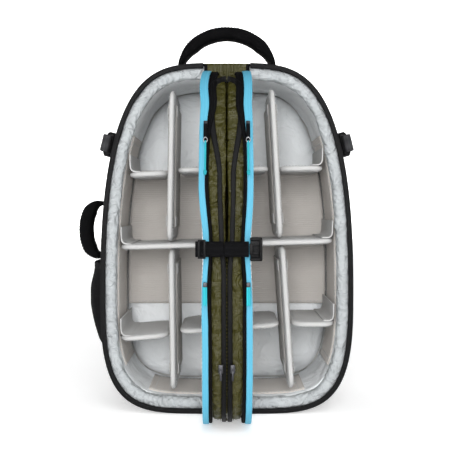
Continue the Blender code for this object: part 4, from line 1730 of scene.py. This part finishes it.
@dataclass
class SidePocket:
    """Stretch pocket with an elastic hem on the left wall."""

    low: float = 0.0735
    high: float = 0.2105
    half: float = 0.0555
    bulge: float = 0.0265

    def point(self, u: float, v: float) -> Vector:
        """Point on the pocket's cloth, from its foot to its hem.

        Args:
            u: share of the way along the first direction.
            v: share of the way along the second direction.

        Returns:
            The point in space.
        """
        height = self.low + (self.high - self.low) * v
        across = self.half * (2.0 * u - 1.0)
        rise = min(math.sin(math.pi * min(v * 1.25, 1.0) / 2) + 0.1, 1.0)
        swell = (1.0 - abs(2.0 * u - 1.0) ** 3.2) * (0.25 + 0.75 * rise)
        swell *= ease(v, -0.04, 0.20) * (1.0 - 0.24 * ease(v, 0.72, 1.0))
        folds = 0.0010 * noise.noise(Vector((u * 9, v * 1.4, 2.0))) * swell
        wall = SHELL.half_width(height) - 0.0008
        return Vector((-wall - self.bulge * swell - folds, across, height))

    def build(self) -> None:
        """Make the cloth, its hem and its bound sides."""
        cloth = sheet(64, 44, self.point, (0.16, 0.14))
        piece("side_pocket_cloth", cloth, Finish.STRETCH, "shell", Slot.NYLON, ["side_pocket"],
              thickness=0.0018)
        hem = ribbon([self.point(step / 60, 1.0) for step in range(61)], AXIS_Z, (0.0052, 0.0013), 14, 4.0,
                     ripple=lambda point, share, angle: 0.0003 * math.sin(share * 260.0))
        sides = [ribbon([self.point(u, step / 40) for step in range(41)], AXIS_Y, (0.0030, 0.0010), 12, 4.0)
                 for u in (0.02, 0.98)]
        foot = ribbon([self.point(step / 60, 0.01) for step in range(61)], AXIS_Z, (0.0030, 0.0010), 12, 4.0)
        piece("side_pocket_hem", merged([hem, foot, *sides]), Finish.BINDING, "shell", Slot.WEBBING)


@dataclass
class Compression:
    """Webbing and buckle across one upper side wall, with its folded striped tail."""

    side: Side
    level: float = 0.388
    reach: float = 0.069
    stout: float = 1.5
    tall: float = 1.36

    def axes(self) -> tuple[Vector, Vector, Vector]:
        """A point on the wall, the outward direction and the upward one.

        Returns:
            The point, the outward direction and the upward one.
        """
        low, high = SHELL.half_width(self.level - 0.013), SHELL.half_width(self.level + 0.013)
        lean = math.atan2(low - high, 0.026)
        out = Vector((math.cos(lean) * self.side.value, 0.0, math.sin(lean)))
        up = Vector((-math.sin(lean) * self.side.value, 0.0, math.cos(lean)))
        return Vector((SHELL.half_width(self.level) * self.side.value, 0.0, self.level)), out, up

    def build(self) -> None:
        """Make the webbing, the buckle and the folded tail."""
        label = self.side.label
        wall, out, up = self.axes()
        path = [wall + out * (0.0017 + 0.0008 * math.cos(math.pi * step / 60))
                + AXIS_Y * (-self.reach + 2 * self.reach * step / 40) for step in range(41)]
        strap = ribbon(path, up, (0.0098, 0.0008), 16, 6.0)
        piece(f"side_strap_{label}", strap, Finish.WEBBING, "shell", Slot.WEBBING,
              [f"compression_strap_{label}"])
        low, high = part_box(f"compression_buckle_{label}")
        matrix = Matrix.Translation(Vector((0.0, (low.y + high.y) / 2, 0.0)) + wall + out * 0.0095)
        matrix = matrix @ Matrix((out, AXIS_Y, up)).transposed().to_4x4()
        matrix = matrix @ Matrix.Diagonal((self.stout, 1.0, self.tall, 1.0))
        half = (high.y - low.y) / 2
        parts = [rounded_block((-0.0040, -half, -0.0125), (0.0040, half * 0.2, 0.0125), 0.0026, 4)]
        parts.append(rounded_block((-0.0028, half * 0.15, -0.0118), (0.0028, half * 0.55, 0.0118), 0.0014))
        for sign in (-1.0, 1.0):
            parts.append(block_about((0.0, half * 0.7, sign * 0.0108), (0.0026, half * 0.3, 0.0018), 0.0012))
            parts.append(block_about((0.0, -half * 0.4, sign * 0.0122), (0.0034, half * 0.3, 0.0012), 0.0010))
        parts.append(rounded_block((-0.0026, half - 0.0036, -0.0118), (0.0026, half, 0.0118), 0.0012))
        buckle = merged(parts)
        bmesh.ops.transform(buckle, matrix=matrix, verts=buckle.verts[:])
        bmesh.ops.recalc_face_normals(buckle, faces=buckle.faces[:])
        piece(f"side_buckle_{label}", buckle, Finish.PLASTIC, "shell", Slot.PLASTIC,
              [f"compression_buckle_{label}"])
        front = low.y
        turns = ((0.0172, 0.0220), (0.0186, 0.0040), (0.0184, -0.0060),
                 (0.0140, -0.0095), (0.0085, -0.0080), (0.0070, 0.0040))
        knots = [wall + out * away + AXIS_Y * (front + along) for away, along in turns]
        tail = ribbon(smooth_path(knots, 44), up, (0.0125, 0.0011), 16, 6.0)
        piece(f"side_tail_{label}", tail, Finish.TRIM, "shell", Slot.WEBBING)


@dataclass
class Harness:
    """Shoulder straps, pads, adjusters, load lifters and the sternum strap."""

    centre: float = 0.078
    half: float = 0.0290
    thick: float = 0.0058
    top: float = 0.4640
    low: float = 0.1462

    def build(self) -> None:
        """Make every piece of the harness."""
        for side in Side:
            self.build_strap(side)
            self.build_adjuster(side)
        self.build_pads()
        self.build_sternum()

    def line(self, side: Side, lift: float = 0.0) -> list[Vector]:
        """Middle line of one shoulder strap, moved away from the back by lift.

        Args:
            side: which side of the bag.
            lift: extra distance from the back.

        Returns:
            Points from the upper end to the lower one.
        """
        points: list[Vector] = []
        for step in range(61):
            share = step / 60
            bow = 0.034 * max(math.sin(math.pi * share), 0.0) ** 0.6
            height = self.top - (self.top - self.low) * share
            points.append(Vector((side.value * self.centre, BACK_Y + 0.0085 + bow + lift, height)))
        return points

    def build_strap(self, side: Side) -> None:
        """One padded shoulder strap with bound edges and a webbing line.

        Args:
            side: which side of the bag.
        """
        label = side.label

        def size(share: float) -> Point2:
            """Half width and half thickness along the strap."""
            full = min(min(share, 1.0 - share) / 0.1, 1.0)
            return (self.half - 0.004 * ease(share, 0.7, 1.0), self.thick * (0.55 + 0.45 * full))

        path = resample(self.line(side), 70)
        pad = ribbon(path, AXIS_X, size, 36, 4.5,
                     ripple=lambda point, share, angle: 0.0006 * noise.noise(point * 40.0))
        strap = piece(f"strap_pad_{label}", pad, Finish.PAD_MESH, "shell", Slot.NYLON,
                      [f"shoulder_strap_{label}"])
        edges = []
        for edge in (-1.0, 1.0):
            run = [point + AXIS_X * edge * size(index / 69)[0] for index, point in enumerate(path)]
            edges.append(ribbon(run, AXIS_Y, (0.0026, 0.0014), 12, 2.4))
        piece(f"strap_edging_{label}", merged(edges), Finish.BINDING, "shell", Slot.WEBBING)
        spine = resample(self.line(side, self.thick + 0.0004), 80)[6:70]
        daisy = ribbon(spine, AXIS_X, (0.0095, 0.0007), 16, 6.0)
        piece(f"strap_webbing_{label}", daisy, Finish.WEBBING, "shell", Slot.WEBBING)
        route = ((0.066, 0.0012, 0.486), (0.072, 0.012, 0.474), (self.centre, 0.030, 0.440),
                 (self.centre, 0.0395, 0.415))
        knots = [(side.value * x, BACK_Y + away, z) for x, away, z in route]
        lifter = ribbon(smooth_path(knots, 30), AXIS_X, (0.0085, 0.0008), 16, 6.0)
        piece(f"load_lifter_{label}", lifter, Finish.WEBBING, "shell", Slot.WEBBING)

    def build_adjuster(self, side: Side) -> None:
        """Ladder-lock adjuster and the webbing down to the shell's corner.

        Args:
            side: which side of the bag.
        """
        label = side.label
        low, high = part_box(f"strap_adjuster_{label}")
        middle = (low.y + high.y) / 2
        parts = []
        for sign in (-1.0, 1.0):
            edge = side.value * self.centre + sign * 0.0140
            parts.append(rounded_block((edge - 0.0019, middle - 0.0030, low.z),
                                       (edge + 0.0019, middle + 0.0030, high.z), 0.0014))
        for share, thick in ((0.10, 0.0020), (0.50, 0.0018), (0.90, 0.0020)):
            level = low.z + (high.z - low.z) * share
            parts.append(rounded_block((low.x + 0.001, middle - 0.0022, level - thick),
                                       (high.x - 0.001, middle + 0.0022, level + thick), 0.0011))
        piece(f"ladder_lock_{label}", merged(parts), Finish.PLASTIC, "shell", Slot.PLASTIC,
              [f"strap_adjuster_{label}"])
        out = side.value
        knots = [(out * 0.078, middle + 0.002, 0.136), (out * 0.080, middle - 0.001, 0.118),
                 (out * 0.094, BACK_Y + 0.0014, 0.103), (out * 0.144, BACK_Y + 0.0012, 0.056)]
        path = smooth_path(knots, 40)
        slant = Vector((0.70, 0.0, out * 0.70))
        wide = [slant.lerp(AXIS_X, 1.0 - ease(index / 39, 0.15, 0.5)).normalized() for index in range(40)]
        webbing = ribbon(path, wide, (0.0092, 0.0008), 16, 6.0)
        piece(f"hem_webbing_{label}", webbing, Finish.WEBBING, "shell", Slot.WEBBING,
              [f"lower_webbing_{label}"])
        route = ((0.078, 0.004, 0.134), (0.076, 0.007, 0.110), (0.074, 0.006, 0.070), (0.075, 0.003, 0.036))
        hang = [(out * x, middle + away, z) for x, away, z in route]
        tail = ribbon(smooth_path(hang, 40), AXIS_X, (0.0092, 0.0008), 16, 6.0)
        piece(f"strap_tail_{label}", tail, Finish.WEBBING, "shell", Slot.WEBBING)

    def build_pads(self) -> None:
        """Lumbar pad and the channelled back pad."""
        low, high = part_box("lumbar_pad")
        lumbar = self.cushion(low, high, 0.018, 1)
        lumbar_cushion = piece("lumbar_cushion", lumbar, Finish.PAD_MESH, "shell", Slot.NYLON, ["lumbar_pad"])
        low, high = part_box("back_pad")
        back = self.cushion(low, high, 0.030, 4)
        back_cushion = piece("back_cushion", back, Finish.PAD_MESH, "shell", Slot.NYLON, ["back_pad"])

    def cushion(self, low: Vector, high: Vector, corner: float, cells: int) -> Shape:
        """A stuffed pad on the back, sewn across into cells.

        Args:
            low: the pad's lowest corner.
            high: its highest corner.
            corner: radius of its outline's corners.
            cells: how many stuffed cells stand above each other.

        Returns:
            The closed pad.
        """
        half_x, half_z = (high.x - low.x) / 2, (high.z - low.z) / 2
        middle = (low + high) / 2
        flat: list[Vector] = []
        for cx, cz, turn in ((1, -1, -90), (1, 1, 0), (-1, 1, 90), (-1, -1, 180)):
            for step in range(9):
                angle = math.radians(turn + 11.25 * step)
                flat.append(Vector((cx * (half_x - corner) + corner * math.cos(angle), 0.0,
                                    cz * (half_z - corner) + corner * math.sin(angle))))
        thick = high.y - low.y

        def place(spot: Vector, share: float, face: float) -> Vector:
            """Point on the pad.

            Args:
                spot: flat point inside the outline.
                share: share of the way out to the edge.
                face: from -1 on one face to 1 on the other.

            Returns:
                The point in space.
            """
            if face <= 0.0:
                return Vector((middle.x + spot.x, low.y + thick * 0.25 * (1.0 + face), middle.z + spot.z))
            cell = abs(math.sin(math.pi * cells * (spot.z + half_z) / (2 * half_z)))
            rise = (0.62 + 0.38 * cell ** 0.6) if cells > 1 else 1.0
            groove = 1.0 - 0.35 * bell(abs(spot.x), 0.0, 0.006) if cells > 1 else 1.0
            height = thick * (0.25 + 0.75 * face * rise * groove * (1.0 - 0.25 * share ** 4))
            return Vector((middle.x + spot.x, low.y + height, middle.z + spot.z))

        return pillow(resample(flat, 160, closed=True), Vector((0.0, 0.0, 0.0)), 46, place, 0.10)

    def build_sternum(self) -> None:
        """The strap across the chest with its small clasp."""
        low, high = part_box("sternum_strap")
        middle = (low.y + high.y) / 2
        level = (low.z + high.z) / 2
        path = []
        for step in range(31):
            share = step / 30
            sag = 0.0008 * math.sin(math.pi * share)
            path.append(Vector((low.x + (high.x - low.x) * share, middle + sag, level)))
        strap = ribbon(path, AXIS_Z, (0.0096, 0.0008), 16, 6.0)
        piece("chest_webbing", strap, Finish.WEBBING, "sternum", Slot.WEBBING, ["sternum_strap"])
        parts = [block_about((-0.0075, middle + 0.0008, level), (0.0095, 0.0034, 0.0125), 0.0024, 4),
                 block_about((0.0075, middle + 0.0008, level), (0.0065, 0.0026, 0.0105), 0.0018)]
        for x in (low.x + 0.006, high.x - 0.006):
            parts.append(block_about((x, middle + 0.0005, level), (0.005, 0.0021, 0.0135), 0.0014))
        piece("chest_clasp", merged(parts), Finish.PLASTIC, "sternum", Slot.PLASTIC)


# ---------------------------------------------------------------- studio


@dataclass
class Studio:
    """White floor, soft light and the camera."""

    distance: float = 1.19
    eye: float = 0.300
    lens: float = 61.2
    tilt: float = -1.50
    pan: float = 0.06
    surround: float = 0.08
    wall_glow: float = 1.0
    sun_strength: float = 1.0
    front_power: float = 32.0

    def build(self) -> None:
        """Set up everything around the bag."""
        self.build_floor()
        self.build_lights()
        camera = bpy.data.cameras.new("camera")
        camera.lens = self.lens
        camera.sensor_width = 36.0
        viewer = bpy.data.objects.new("camera", camera)
        viewer.location = (0.0, -self.distance, self.eye)
        viewer.rotation_euler = (math.radians(90.0 + self.tilt), 0.0, math.radians(self.pan))
        bpy.context.collection.objects.link(viewer)
        bpy.context.scene.camera = viewer

    def build_floor(self) -> None:
        """A plain pale floor and a bright round wall far from the bag."""
        floor = bmesh.new()
        bmesh.ops.create_grid(floor, x_segments=2, y_segments=2, size=12.0)
        graph = Graph("white floor")
        graph.dress(Base_Color=(0.92, 0.92, 0.92, 1.0), Roughness=0.95, Specular_IOR_Level=0.0,
                    Emission_Color=(1.0, 1.0, 1.0, 1.0), Emission_Strength=0.36)
        self.stand("floor", floor, graph.material)
        wall = bmesh.new()
        bmesh.ops.create_circle(wall, segments=64, radius=6.0)
        raised = bmesh.ops.extrude_edge_only(wall, edges=wall.edges[:])
        top = [item for item in raised["geom"] if isinstance(item, bmesh.types.BMVert)]
        bmesh.ops.translate(wall, verts=top, vec=(0.0, 0.0, 3.2))
        graph = Graph("white wall")
        graph.dress(Base_Color=(0.9, 0.9, 0.9, 1.0), Roughness=0.95, Emission_Color=(1.0, 1.0, 1.0, 1.0),
                    Emission_Strength=self.wall_glow)
        self.stand("wall", wall, graph.material)

    def stand(self, name: str, shape: Shape, material: bpy.types.Material) -> None:
        """Put a piece of the studio in place, outside the object.

        Args:
            name: its name.
            shape: its mesh.
            material: its finish.
        """
        mesh = bpy.data.meshes.new(name)
        shape.to_mesh(mesh)
        shape.free()
        mesh.materials.append(material)
        item = bpy.data.objects.new(name, mesh)
        bpy.context.collection.objects.link(item)

    def build_lights(self) -> None:
        """An even white surround, a large lamp in front and one above."""
        world = bpy.data.worlds.new("studio")
        world.use_nodes = True
        world.node_tree.nodes["Background"].inputs["Color"].default_value = (1.0, 1.0, 1.0, 1.0)
        world.node_tree.nodes["Background"].inputs["Strength"].default_value = self.surround
        bpy.context.scene.world = world
        bpy.context.scene.view_settings.view_transform = "Standard"
        sun = bpy.data.lights.new("above", "SUN")
        sun.energy = self.sun_strength
        sun.angle = math.radians(35.0)
        self.hang("above", sun, (0.25, -1.6, 1.55), (0.0, 0.0, 0.0))
        front = bpy.data.lights.new("front", "AREA")
        front.size = 0.9
        front.energy = self.front_power
        self.hang("front", front, (-0.15, -2.5, 0.72), (0.0, 0.0, 0.25))

    def hang(self, name: str, lamp: bpy.types.Light, spot: Sequence[float], aim: Sequence[float]) -> None:
        """Put a lamp at a spot, aimed at a point.

        Args:
            name: the lamp's name.
            lamp: the light.
            spot: where it hangs.
            aim: the point that it shines at.
        """
        holder = bpy.data.objects.new(name, lamp)
        holder.location = spot
        holder.rotation_euler = (Vector(aim) - Vector(spot)).to_track_quat("-Z", "Y").to_euler()
        bpy.context.collection.objects.link(holder)


def dress_frame(nodes: dict[str, bpy.types.Object]) -> None:
    """Give the frame's stiffener sheet its finish.

    Args:
        nodes: the frame's nodes by name.
    """
    graph = Graph("stiffener sheet")
    coords = graph.add("TexCoord").outputs["Object"]
    grain = graph.noise(coords, 220.0, 3.0)
    graph.dress(Base_Color=graph.mix(grain, (0.62, 0.62, 0.60, 1.0), (0.74, 0.74, 0.72, 1.0)), Roughness=0.5,
                Normal=graph.bump(grain, 0.0002))
    sheet_node = nodes["frame_sheet"]
    sheet_node.data.materials.clear()
    sheet_node.data.materials.append(graph.material)


def main() -> None:
    """Build the bag and its studio, in order."""
    logging.basicConfig(level=logging.INFO, format="%(message)s")
    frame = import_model()
    Studio().build()
    for side in Side:
        for level in ("upper", "lower"):
            Puller(level, side).build()
        build_pocket_slider(side)
    dress_frame(frame["nodes"])
    Shell().build()
    Compartment().build()
    build_dividers()
    for side in Side:
        Lid(side).build()
    Clasp().build()
    build_handles()
    SidePocket().build()
    for side in Side:
        Compression(side).build()
    Harness().build()


if __name__ == "__main__":
    main()
